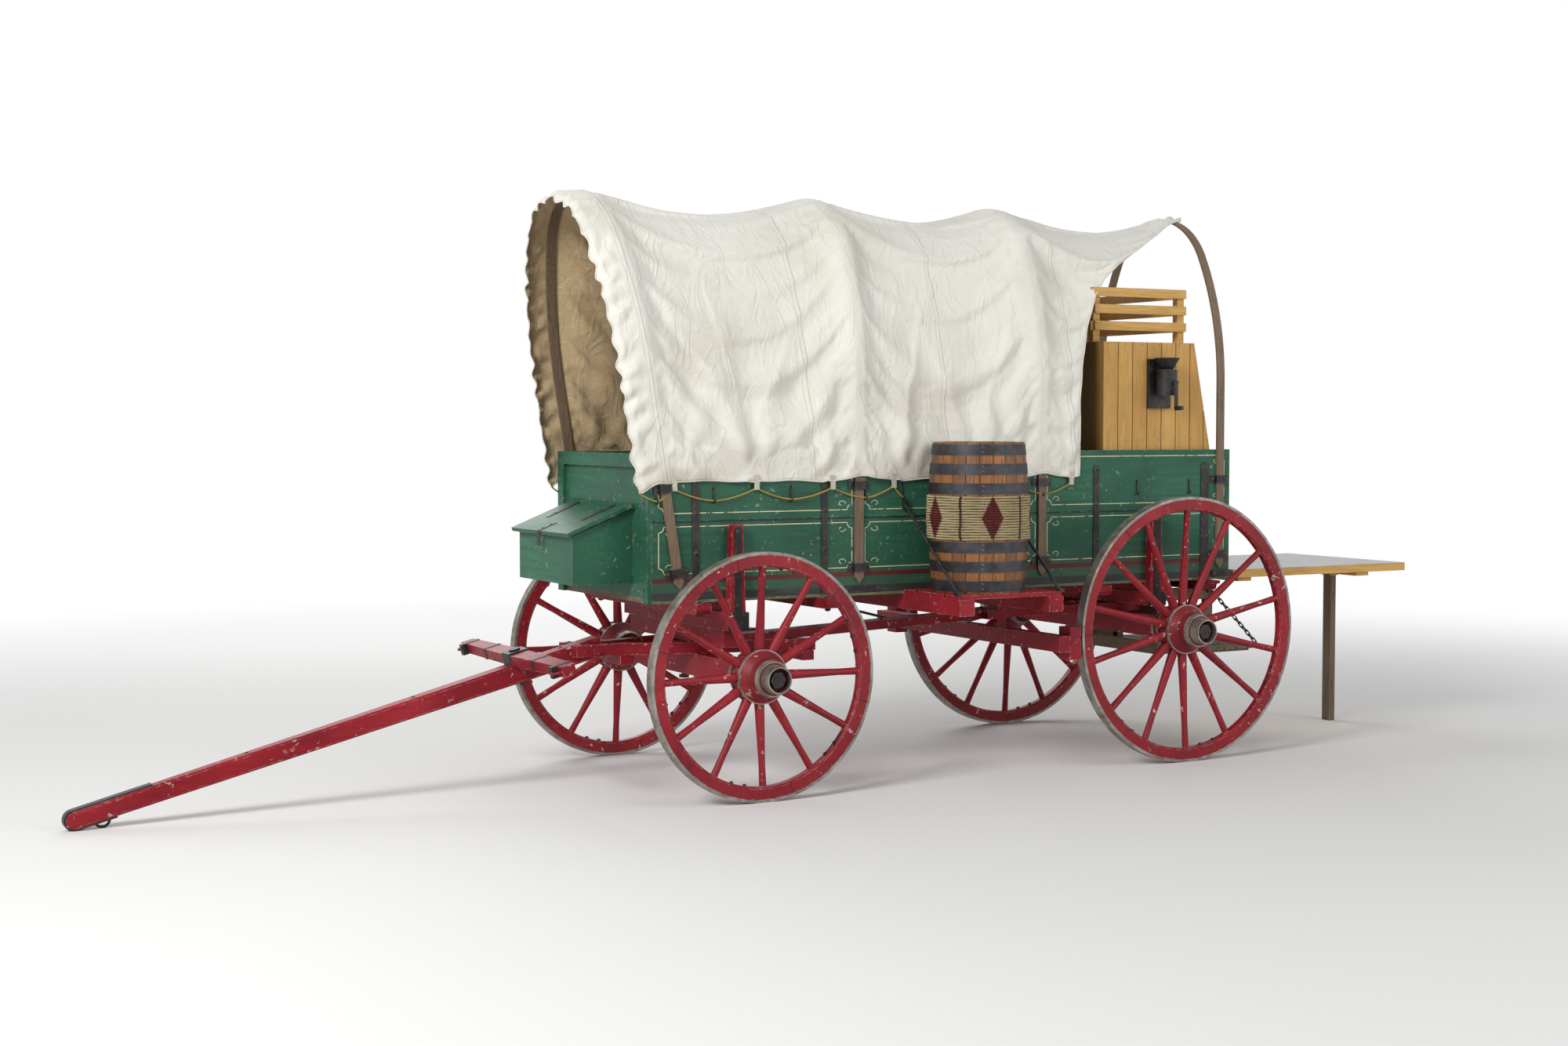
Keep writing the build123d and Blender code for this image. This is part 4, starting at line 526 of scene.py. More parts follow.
@dataclass(frozen=True)
class CottonDuck:
    """Canvas: a plain weave by the sheet's own map, lapped seams with two rows of stitches, soft stains."""

    name: str = "cotton_duck"
    tone: Colour = Paint.CANVAS.value
    stain: Colour = colour(204, 197, 180)
    seam_pitch: float = 0.737
    threads: float = 900.0

    def build(self) -> Material:
        """Makes the material."""
        shader = Shader(self.name)
        sheet_map = shader.value("ShaderNodeUVMap", uv_map="sheet")
        along = shader.axis(0, sheet_map)
        girth = shader.axis(1, sheet_map)
        warp = shader.math("SINE", along * self.threads)
        weft = shader.math("SINE", girth * self.threads)
        share = (along * (1 / self.seam_pitch) + 0.32).fraction()
        off = abs(share - 0.5) * self.seam_pitch
        lap = shader.ramp(off, 0.0125, 0.0105)
        stitch = shader.ramp(abs(off - 0.0085), 0.0014, 0.0006) * shader.ramp(weft, -0.2, 0.2)
        slubs = shader.noise(26.0, 4.0, place=shader.stretched((1.0, 14.0, 1.0), sheet_map))
        creases = shader.noise(7.0, 4.0, 1.2, place=shader.stretched((1.0, 0.7, 0.45)))
        sharp = shader.ramp(abs(creases - 0.5), 0.09, 0.0)
        wrinkles = shader.noise(10.0, 5.0, 0.8)
        stains = shader.ramp(shader.noise(1.9, 5.0, 0.5), 0.42, 0.8)
        base = shader.mix(stains * 0.7, self.tone, self.stain)
        base = shader.mix(shader.ramp(slubs, 0.45, 0.7) * 0.25, base, colour(240, 238, 231))
        hem_dirt = shader.ramp(shader.axis(2), 1.60, 1.42) * 0.5
        hem_dirt = hem_dirt * shader.ramp(shader.noise(6.0, 5.0), 0.42, 0.7)
        base = shader.mix(hem_dirt, base, colour(176, 162, 136))
        base = shader.mix(stitch * 0.4, base, colour(158, 148, 128))
        height = warp * weft * 0.04 + wrinkles * 1.6 + sharp * 0.5 + lap * 0.5 - stitch * 0.4
        return shader.finish(base, 0.88, height, 0.0035, Sheen_Weight=0.2, Specular_IOR_Level=0.15)


@dataclass(frozen=True)
class Cordage:
    """Laid or braided rope; its colour may come from a colour attribute of the piece."""

    name: str
    tone: Colour
    attribute: str = ""

    def build(self) -> Material:
        """Makes the material."""
        shader = Shader(self.name)
        fibres = shader.noise(420.0, 3.0)
        clouds = shader.noise(12.0, 4.0)
        tone: Colour | Value = self.tone
        if self.attribute:
            tone = shader.value("ShaderNodeAttribute", output="Color", attribute_name=self.attribute)
        dark = shader.mix(0.45, tone, colour(70, 52, 34))
        base = shader.mix(shader.ramp(fibres, 0.35, 0.65), dark, tone)
        base = shader.mix(shader.ramp(clouds, 0.45, 0.75) * 0.3, base, colour(120, 98, 66))
        return shader.finish(base, 0.85, fibres, Specular_IOR_Level=0.2)


@dataclass(frozen=True)
class StripePaint:
    """A painted line, thin and rubbed away here and there."""

    name: str
    tone: Colour
    under: Colour

    def build(self) -> Material:
        """Makes the material."""
        shader = Shader(self.name)
        rubbed = shader.noise(34.0, 5.0, 0.4)
        base = shader.mix(shader.ramp(rubbed, 0.56, 0.66), self.tone, self.under)
        return shader.finish(base, 0.45, rubbed, 0.0003, Specular_IOR_Level=0.4)


@dataclass(frozen=True)
class StaveOak:
    """Oak staves, each with a tone of its own from the piece's attribute."""

    name: str = "stave_oak"

    def build(self) -> Material:
        """Makes the material."""
        shader = Shader(self.name)
        tone = shader.value("ShaderNodeAttribute", output="Fac", attribute_name="stave_tone")
        grain = shader.noise(130.0, 6.0, 0.5, place=shader.stretched(Grain.UPRIGHT.value))
        base = shader.mix(tone, colour(112, 70, 36), colour(156, 104, 58))
        base = shader.mix(shader.ramp(grain, 0.42, 0.7) * 0.6, base, colour(66, 38, 20))
        wet = shader.ramp(shader.noise(6.0, 5.0), 0.46, 0.7)
        base = shader.mix(wet * 0.45, base, colour(58, 40, 28))
        return shader.finish(base, 0.46, grain, 0.0010, Specular_IOR_Level=0.4)


@cache
def material_of(finish: Finish) -> Material:
    """The material of a finish, built on its first use."""
    return finish.build()


GEAR_RED = PaintedTimber("gear_red_paint", Paint.GEAR_RED.value, wear=0.7)
GEAR_RED_ACROSS = PaintedTimber("gear_red_paint_across", Paint.GEAR_RED.value, grain=Grain.ACROSS, wear=0.7)
BOLSTER = BolsterPaint("bolster_paint", Paint.GEAR_RED.value, grain=Grain.ACROSS, wear=0.7)
BOX_GREEN_ACROSS = PaintedTimber(
    "box_green_paint_across", Paint.BOX_GREEN.value, grain=Grain.ACROSS, wear=0.4
)
BOX_SIDE = BandedTimber(
    "box_side_paint",
    Paint.BOX_GREEN.value,
    wear=0.4,
    bands=(
        Band(0.889, 0.926, Paint.SLATE.value),
        Band(0.968, 0.990, Paint.MAROON.value),
        Band(1.2385, 1.2455, Paint.SLATE.value),
    ),
)
STRIP_OLIVE = PaintedTimber("strip_olive_paint", Paint.OLIVE.value, wear=0.6)
BOW_WOOD = BareTimber("bow_wood", Paint.BOW_WOOD.value, colour(92, 74, 58), Grain.UPRIGHT, 14.0)
PINE_DARK = colour(176, 126, 64)
PINE_BOARDS = BareTimber(
    "pine_boards", Paint.PINE.value, PINE_DARK, Grain.UPRIGHT, roughness=0.5, board=0.092,
    board_start=PLAN.x(2.110),
)
PINE_ACROSS = BareTimber("pine_across", Paint.PINE.value, PINE_DARK, Grain.ACROSS, roughness=0.5)
PINE_ALONG = BareTimber("pine_along", Paint.PINE.value, PINE_DARK, Grain.ALONG, roughness=0.5)
GREY_DARK = colour(84, 70, 56)
GREY_ALONG = BareTimber("grey_boards_along", Paint.GREY_WOOD.value, GREY_DARK, Grain.ALONG, checked=0.8)
GREY_ACROSS = BareTimber("grey_boards_across", Paint.GREY_WOOD.value, GREY_DARK, Grain.ACROSS, checked=0.8)
GREY_UPRIGHT = BareTimber("grey_boards_upright", Paint.GREY_WOOD.value, GREY_DARK, Grain.UPRIGHT, checked=0.8)
BARREL_OAK = BareTimber("barrel_oak", Paint.OAK.value, colour(74, 44, 24), Grain.UPRIGHT, roughness=0.5)
BLACK_IRON = OldIron("black_iron")
HOOP_IRON = OldIron("hoop_iron", colour(44, 46, 50), rust=0.35, bright=0.5)
TYRE_IRON = OldIron("tyre_iron", Paint.TYRE.value, rust=0.5, metallic=0.75, roughness=0.48, bright=0.5)
ZINC = SheetZinc()
CANVAS = CottonDuck()
# The inner face of the same cloth in a darker tan: the cloth's own tan with painted shade and painted light
# through the cloth.
CANVAS_INSIDE_SHADE = CottonDuck("cotton_duck_inside_painted_shade", colour(186, 160, 120), colour(158, 130, 92))
TIE_ROPE = Cordage("tie_rope", Paint.TIE_ROPE.value)
WOVEN_CORD = Cordage("woven_cord", Paint.CORD.value, "cord_tone")
TIE_TAPE = Cordage("tie_tape", Paint.TAPE.value)
CREAM_LINE = StripePaint("cream_line", Paint.CREAM.value, Paint.BOX_GREEN.value)


def dress(finish: Finish, *nodes: str) -> None:
    """Gives CAD nodes their material.

    Args:
        finish: The finish that they take.
        nodes: The nodes' names.
    """
    for node in nodes:
        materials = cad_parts[node].data.materials
        materials.clear()
        materials.append(material_of(finish))


def cast(node: str, start: Point, way: Point) -> tuple[Point, Point] | None:
    """Where a line first meets a CAD node and which way the node faces there, or None where it misses."""
    hit, spot, facing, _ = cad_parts[node].ray_cast(start, way)
    return (tuple(spot), tuple(facing)) if hit else None


def linked(name: str, data: bpy.types.ID) -> Object:
    """Puts a new object into the scene.

    Args:
        name: Its name.
        data: Its mesh, lamp or camera.

    Returns:
        The object.
    """
    made = bpy.data.objects.new(name, data)
    bpy.context.scene.collection.objects.link(made)
    return made


def evaluated(holder: Object, name: str) -> Mesh:
    """Turns what an object's modifiers make into a plain mesh, and takes the object away.

    Args:
        holder: The object.
        name: The new mesh's name.

    Returns:
        The mesh.
    """
    graph = bpy.context.evaluated_depsgraph_get()
    made = bpy.data.meshes.new_from_object(holder.evaluated_get(graph), depsgraph=graph)
    made.name = name
    holder.modifiers.clear()
    bpy.data.objects.remove(holder)
    return made


def piece(name: str, mesh: Mesh, finish: Finish | None, body: str) -> Object:
    """Puts a mesh into the scene as a finished piece that rides on a body.

    Args:
        name: The piece's name.
        mesh: Its mesh, in place.
        finish: Its finish, or None where the mesh has its material.
        body: The CAD body that carries it.

    Returns:
        The object.
    """
    made = linked(name, mesh)
    if finish is not None:
        mesh.materials.clear()
        mesh.materials.append(material_of(finish))
    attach(made, body)
    LOG.info("%s: %d faces on %s", name, len(mesh.polygons), body)
    return made


def headings(spots: Sequence[Vector], closed: bool) -> list[Vector]:
    """Which way a path runs at each of its points.

    Args:
        spots: The path's points.
        closed: Whether its end meets its start.

    Returns:
        A unit vector for each point.
    """
    count = len(spots)
    ways = []
    for index, spot in enumerate(spots):
        before = spots[index - 1] if closed or index else spot
        after = spots[(index + 1) % count] if closed or index < count - 1 else spot
        ways.append((after - before).normalized())
    return ways


@dataclass
class Form:
    """Points and faces gathered from simple forms, to become one mesh."""

    points: list[Point] = field(default_factory=list)
    faces: list[tuple[int, ...]] = field(default_factory=list)
    root: float = 0.0004

    def block(self, low: Sequence[float], high: Sequence[float]) -> None:
        """Adds a box.

        Args:
            low: Its lowest corner.
            high: Its highest corner.
        """
        base = len(self.points)
        for index in range(8):
            self.points.append(tuple((high if index >> axis & 1 else low)[axis] for axis in range(3)))
        for face in ((0, 2, 3, 1), (4, 5, 7, 6), (0, 1, 5, 4), (2, 6, 7, 3), (0, 4, 6, 2), (1, 3, 7, 5)):
            self.faces.append(tuple(base + corner for corner in face))

    def strip(self, rows: Sequence[Sequence[Point]], closed: bool = False) -> None:
        """Adds a skin over rows of points, each row a ring.

        Args:
            rows: The rows, all of one length.
            closed: Whether the last row meets the first; if not, both end rings are capped.
        """
        base = len(self.points)
        width = len(rows[0])
        for row in rows:
            self.points.extend(tuple(point) for point in row)
        count = len(rows)
        for row in range(count if closed else count - 1):
            near, far = base + row * width, base + (row + 1) % count * width
            for column in range(width):
                beside = (column + 1) % width
                self.faces.append((near + column, near + beside, far + beside, far + column))
        if not closed:
            self.faces.append(tuple(base + column for column in reversed(range(width))))
            self.faces.append(tuple(base + (count - 1) * width + column for column in range(width)))

    def tube(self, path: Sequence[Point], radius: float, sides: int) -> None:
        """Adds a round tube along a path.

        Args:
            path: The line of its middle.
            radius: Its radius.
            sides: How many flat sides stand for the round.
        """
        spots = [Vector(point) for point in path]
        rows = []
        side = None
        for spot, way in zip(spots, headings(spots, False)):
            if side is None:
                side = way.orthogonal().normalized()
            side = (side - way * side.dot(way)).normalized()
            other = way.cross(side)
            row = []
            for step in range(sides):
                turn = math.tau * step / sides
                row.append(tuple(spot + (side * math.cos(turn) + other * math.sin(turn)) * radius))
            rows.append(row)
        self.strip(rows)

    def ribbon(self, path: Sequence[Flat], width: float, face_y: float, proud: float, closed: bool) -> None:
        """Adds a flat painted line on the plane y = face_y, from (x, z) points.

        Args:
            path: The line's middle.
            width: Its width.
            face_y: The board's face; the line stands proud of it, away from the wagon.
            proud: How far it stands out.
            closed: Whether its end meets its start.
        """
        way_out = math.copysign(1.0, face_y)
        spots = [Vector((x, 0.0, z)) for x, z in path]
        low, high = face_y - way_out * self.root, face_y + way_out * proud
        rows = []
        for spot, way in zip(spots, headings(spots, closed)):
            side = Vector((-way.z, 0.0, way.x)) * (width / 2)
            corners = ((spot - side, low), (spot - side, high), (spot + side, high), (spot + side, low))
            rows.append([(corner.x, y, corner.z) for corner, y in corners])
        self.strip(rows, closed)

    def strap(self, path: Sequence[Point], up: Point, half: float, thick: float) -> None:
        """Adds a flat bar across the y axis that lies along a path.

        Args:
            path: The line along the middle of its underside.
            up: The way that it is thick.
            half: Half its width.
            thick: Its thickness.
        """
        wide, high = Vector((0.0, half, 0.0)), Vector(up) * thick
        rows = []
        for point in path:
            spot = Vector(point)
            corners = (spot - wide, spot + wide, spot + wide + high, spot - wide + high)
            rows.append([tuple(corner) for corner in corners])
        self.strip(rows)

    def mesh(self, name: str, smooth: bool = False) -> Mesh:
        """The gathered form as a mesh whose faces point outwards.

        Args:
            name: The mesh's name.
            smooth: Whether its faces are shaded smooth.

        Returns:
            The mesh.
        """
        made = bpy.data.meshes.new(name)
        made.from_pydata(self.points, [], self.faces)
        work = bmesh.new()
        work.from_mesh(made)
        bmesh.ops.remove_doubles(work, verts=work.verts, dist=1e-6)
        bmesh.ops.recalc_face_normals(work, faces=work.faces)
        for polygon in work.faces:
            polygon.smooth = smooth
        work.to_mesh(made)
        work.free()
        return made

    def piece(self, name: str, finish: Finish, body: str, slot: str, smooth: bool = False) -> Object:
        """The gathered form as a finished piece."""
        return piece(name, self.mesh(name, smooth), finish, body)


class Recipe(NodeTree):
    """A Geometry Nodes tree with named inputs, which ends in Realize Instances and Set Material."""

    def __init__(self, name: str, inputs: dict[str, tuple[str, object]]) -> None:
        """Makes the tree's frame.

        Args:
            name: The tree's name.
            inputs: Each input's name with its kind and default.
        """
        super().__init__(bpy.data.node_groups.new(name, "GeometryNodeTree"))
        face = self.tree.interface
        face.new_socket("Geometry", in_out="INPUT", socket_type="NodeSocketGeometry")
        for label, (kind, default) in inputs.items():
            socket = face.new_socket(label, in_out="INPUT", socket_type="NodeSocket" + kind)
            socket.default_value = default
        face.new_socket("Material", in_out="INPUT", socket_type="NodeSocketMaterial")
        face.new_socket("Geometry", in_out="OUTPUT", socket_type="NodeSocketGeometry")
        self.enter = self.tree.nodes.new("NodeGroupInput")
        self.leave = self.tree.nodes.new("NodeGroupOutput")

    def given(self, label: str) -> Socket:
        """The socket of a named input."""
        return self.enter.outputs[label]

    def attribute(self, label: str, kind: str) -> Socket:
        """A named attribute of the source points."""
        made = self.node("GeometryNodeInputNamedAttribute", {"Name": label}, data_type=kind)
        return next(output for output in made.outputs if output.enabled and output.name == "Attribute")

    def ring(self, sides: int, radius: Socket) -> Value:
        """A closed round line."""
        return self.value("GeometryNodeCurvePrimitiveCircle", {"Resolution": sides, "Radius": radius})

    def swept(self, line: Value, section: Value) -> Value:
        """A smooth, capped body: a section along a line."""
        inputs = {"Curve": line, "Profile Curve": section, "Fill Caps": True}
        return self.value("GeometryNodeSetShadeSmooth", {0: self.value("GeometryNodeCurveToMesh", inputs)})

    def shifted(self, geometry: Value, offset: Value | Socket) -> Value:
        """A geometry moved by an offset, as a whole."""
        return self.value("GeometryNodeTransform", {0: geometry, "Translation": offset})

    def close(self, geometry: Value) -> None:
        """Ends the tree with Realize Instances and Set Material.

        Args:
            geometry: What the tree has made.
        """
        real = self.value("GeometryNodeRealizeInstances", {0: geometry})
        painted = self.node("GeometryNodeSetMaterial", {0: real, "Material": self.given("Material")})
        self.tree.links.new(painted.outputs[0], self.leave.inputs[0])

    def apply(self, source: Mesh, name: str, finish: Finish, **values: object) -> Mesh:
        """Runs the tree on a source mesh.

        Args:
            source: The mesh that it starts from.
            name: The new mesh's name.
            finish: What Set Material gives.
            values: The named inputs, with _ for each space.

        Returns:
            The plain mesh that it makes.
        """
        holder = linked(name + "_source", source)
        modifier = holder.modifiers.new("recipe", "NODES")
        modifier.node_group = self.tree
        wanted = {label.replace("_", " "): value for label, value in values.items()}
        wanted["Material"] = material_of(finish)
        for item in self.tree.interface.items_tree:
            if item.item_type == "SOCKET" and item.in_out == "INPUT" and item.name in wanted:
                modifier[item.identifier] = wanted[item.name]
        return evaluated(holder, name)


def point_cloud(
    spots: Sequence[Point], vectors: dict[str, Sequence[Point]], numbers: dict[str, Sequence[float]]
) -> Mesh:
    """A mesh of loose points for a recipe to work on.

    Args:
        spots: The points.
        vectors: Vector attributes, by name, with a vector for each point.
        numbers: Number attributes, by name, with a number for each point.

    Returns:
        The mesh.
    """
    made = bpy.data.meshes.new("spots")
    made.from_pydata(list(spots), [], [])
    for label, values in vectors.items():
        attribute = made.attributes.new(label, "FLOAT_VECTOR", "POINT")
        attribute.data.foreach_set("vector", [part for value in values for part in value])
    for label, values in numbers.items():
        attribute = made.attributes.new(label, "FLOAT", "POINT")
        attribute.data.foreach_set("value", list(values))
    return made


class Head(Enum):
    """The kinds of fastener head: sides, height and crown, as shares of the radius."""

    CARRIAGE_BOLT = (12, 0.28, 0.55)
    SQUARE_NUT = (4, 0.75, 0.96)
    NAIL = (8, 0.2, 0.8)


class Fasteners:
    """Bolt heads, nuts and nails: one recipe that sets a head on each point, facing its way."""

    tip = 0.12
    crown_height = 0.35

    def __init__(self) -> None:
        """Builds the recipe."""
        self.recipe = Recipe(
            "fastener_heads",
            {"Sides": ("Int", 12), "Height Share": ("Float", 0.3), "Crown Share": ("Float", 0.6)},
        )
        nodes = self.recipe
        height, crown_share = nodes.given("Height Share"), nodes.given("Crown Share")
        low = nodes.value(
            "GeometryNodeMeshCone",
            {"Vertices": nodes.given("Sides"), "Radius Top": crown_share, "Radius Bottom": 1.0,
             "Depth": height},
            "Mesh",
        )
        crown = nodes.value(
            "GeometryNodeMeshCone",
            {"Vertices": nodes.given("Sides"), "Radius Top": self.tip, "Radius Bottom": crown_share,
             "Depth": nodes.math("MULTIPLY", height, self.crown_height)},
            "Mesh",
        )
        raised = nodes.shifted(crown, nodes.value("ShaderNodeCombineXYZ", {2: height}))
        head = nodes.node("GeometryNodeJoinGeometry")
        for part in (low, raised):
            nodes.tree.links.new(part.socket, head.inputs[0])
        facing = nodes.attribute("facing", "FLOAT_VECTOR")
        turn = nodes.value("FunctionNodeAlignRotationToVector", {"Vector": facing}, axis="Z")
        nodes.close(
            nodes.value(
                "GeometryNodeInstanceOnPoints",
                {"Points": nodes.given("Geometry"), "Instance": head.outputs[0], "Rotation": turn,
                 "Scale": nodes.attribute("size", "FLOAT")},
            )
        )
        self.groups: list[tuple[str, str, list[HeadRow], Head, Finish, str]] = []

    def add(
        self, body: str, name: str, rows: Iterable[HeadRow], head: Head = Head.CARRIAGE_BOLT,
        finish: Finish = BLACK_IRON, slot: str = "black_iron",
    ) -> None:
        """Notes a piece of fasteners for later.

        Args:
            body: The CAD body that carries them.
            name: The piece's name.
            rows: Each head's place, the way it faces and its radius.
            head: The kind of head.
            finish: Its finish.
            slot: Not used.
        """
        self.groups.append((body, name, list(rows), head, finish, slot))

    def build(self) -> None:
        """Makes one piece of each group."""
        for body, name, rows, head, finish, slot in self.groups:
            places, facings, sizes = zip(*rows)
            cloud = point_cloud(places, {"facing": facings}, {"size": sizes})
            sides, height, crown = head.value
            made = self.recipe.apply(
                cloud, name, finish, Sides=sides, Height_Share=height, Crown_Share=crown
            )
            piece(name, made, None, body)


class RopeMaker:
    """Twisted rope along a path: a lobed section that turns as it goes."""

    sides = 12

    def __init__(self) -> None:
        """Builds the recipe."""
        self.recipe = Recipe(
            "laid_rope",
            {"Radius": ("Float", 0.004), "Lay": ("Float", 260.0), "Step": ("Float", 0.006),
             "Lobes": ("Float", 3.0), "Depth": ("Float", 0.16)},
        )
        nodes = self.recipe
        curve = nodes.value("GeometryNodeMeshToCurve", {0: nodes.given("Geometry")})
        spaced = {0: curve, "Length": nodes.given("Step")}
        even = nodes.value("GeometryNodeResampleCurve", spaced, mode="LENGTH")
        along = nodes.value("GeometryNodeSplineParameter", output="Length")
        laid = nodes.value("GeometryNodeSetCurveTilt", {"Curve": even, "Tilt": along * nodes.given("Lay")})
        index = nodes.value("GeometryNodeInputIndex")
        turn = index * (math.tau / self.sides) * nodes.given("Lobes")
        swell = nodes.math("COSINE", turn) * nodes.given("Depth")
        place = nodes.value("GeometryNodeInputPosition")
        pushed = nodes.value("ShaderNodeVectorMath", {0: place, "Scale": swell}, operation="SCALE")
        section = nodes.ring(self.sides, nodes.given("Radius"))
        lobed = nodes.value("GeometryNodeSetPosition", {0: section, "Offset": pushed})
        nodes.close(nodes.swept(laid, lobed))

    def along(
        self, paths: Sequence[Sequence[Point]], name: str, finish: Finish, radius: float, **more: float
    ) -> Mesh:
        """A rope along each path, as one mesh.

        Args:
            paths: The paths, each a line of points; one that ends at its start is a ring.
            name: The mesh's name.
            finish: The rope's finish.
            radius: The rope's radius.
            more: Other named inputs of the recipe.

        Returns:
            The mesh.
        """
        spots: list[Point] = []
        edges: list[tuple[int, int]] = []
        for path in paths:
            ring = (Vector(path[0]) - Vector(path[-1])).length < 1e-6
            base = len(spots)
            spots.extend(path[:-1] if ring else path)
            count = len(spots) - base
            edges.extend((base + step, base + step + 1) for step in range(count - 1))
            if ring:
                edges.append((base + count - 1, base))
        source = bpy.data.meshes.new("path")
        source.from_pydata(spots, edges, [])
        return self.recipe.apply(source, name, finish, Radius=radius, **more)


FASTENERS = Fasteners()
ROPES = RopeMaker()


def portion(value: np.ndarray, start: float, length: float) -> np.ndarray:
    """How far a value has gone from a start over a length, 0 to 1."""
    return np.clip((value - start) / length, 0, 1)


@dataclass(frozen=True)
class Arch:
    """A bow's line: two upright legs, a side arc on each and a crown arc between them."""

    half: float
    spring: float
    rise: float
    crown: float

    @property
    def side_radius(self) -> float:
        """The radius of the side arcs, which meet legs and crown smoothly."""
        return (self.half**2 + self.rise**2 - 2 * self.rise * self.crown) / (2 * (self.half - self.crown))

    @property
    def side_centre(self) -> float:
        """How far out from the middle the side arc's centre is."""
        return self.half - self.side_radius

    @property
    def crown_centre(self) -> float:
        """The height of the crown arc's centre."""
        return self.spring + self.rise - self.crown

    @property
    def turn(self) -> float:
        """The angle at which the side arc gives way to the crown."""
        return math.atan2(self.crown_centre - self.spring, -self.side_centre)

    def line(self, foot: float, count: int) -> np.ndarray:
        """Evenly spaced points along the line.

        Args:
            foot: The height of both feet.
            count: How many points.

        Returns:
            The points (y, z), from the left foot over the top to the right foot.
        """
        side, crown = self.side_radius, self.crown
        spots = [(self.half, z) for z in np.linspace(foot, self.spring, 30, endpoint=False)]
        spots += [
            (self.side_centre + side * math.cos(a), self.spring + side * math.sin(a))
            for a in np.linspace(0, self.turn, 40, endpoint=False)
        ]
        spots += [
            (crown * math.cos(a), self.crown_centre + crown * math.sin(a))
            for a in np.linspace(self.turn, math.pi / 2, 30)
        ]
        right = np.array(spots)
        whole = np.vstack([right * (-1, 1), right[::-1][1:]])
        run = np.concatenate([[0.0], np.cumsum(np.linalg.norm(np.diff(whole, axis=0), axis=1))])
        even = np.linspace(0.0, run[-1], count)
        return np.column_stack([np.interp(even, run, whole[:, 0]), np.interp(even, run, whole[:, 1])])

    def pushed_out(self, y: np.ndarray, z: np.ndarray, least: np.ndarray) -> tuple[np.ndarray, np.ndarray]:
        """Moves points outwards where they are less than so far outside the line.

        Args:
            y: Their places across the wagon.
            z: Their heights.
            least: The least distance of each.

        Returns:
            The new y and z.
        """
        side = np.where(y < 0, -1.0, 1.0)
        across = np.abs(y)
        above = z > self.spring
        angle = np.arctan2(np.clip(z - self.spring, 0, None), across - self.side_centre)
        on_crown = above & (angle > self.turn)
        centre_y = np.where(on_crown, 0.0, self.side_centre)
        centre_z = np.where(on_crown, self.crown_centre, self.spring)
        radius = np.where(on_crown, self.crown, self.side_radius)
        off_y = across - centre_y
        off_z = np.where(above, z - centre_z, 0.0)
        reach = np.maximum(np.hypot(off_y, off_z), 1e-6)
        short = np.clip(radius + least - reach, 0.0, None)
        return side * (across + short * off_y / reach), z + short * off_z / reach


def refined(grid: np.ndarray) -> np.ndarray:
    """A finer grid, on a smooth curve through the given one.

    Args:
        grid: The rows of points.

    Returns:
        The grid with a row more between every two.
    """
    ends = (2 * grid[:1] - grid[1:2], grid, 2 * grid[-1:] - grid[-2:-1])
    padded = np.concatenate(ends)
    out = np.empty((2 * len(grid) - 1, *grid.shape[1:]))
    out[::2] = grid
    out[1::2] = (padded[1:-2] + padded[2:-1]) * (9 / 16) - (padded[:-3] + padded[3:]) / 16
    return out


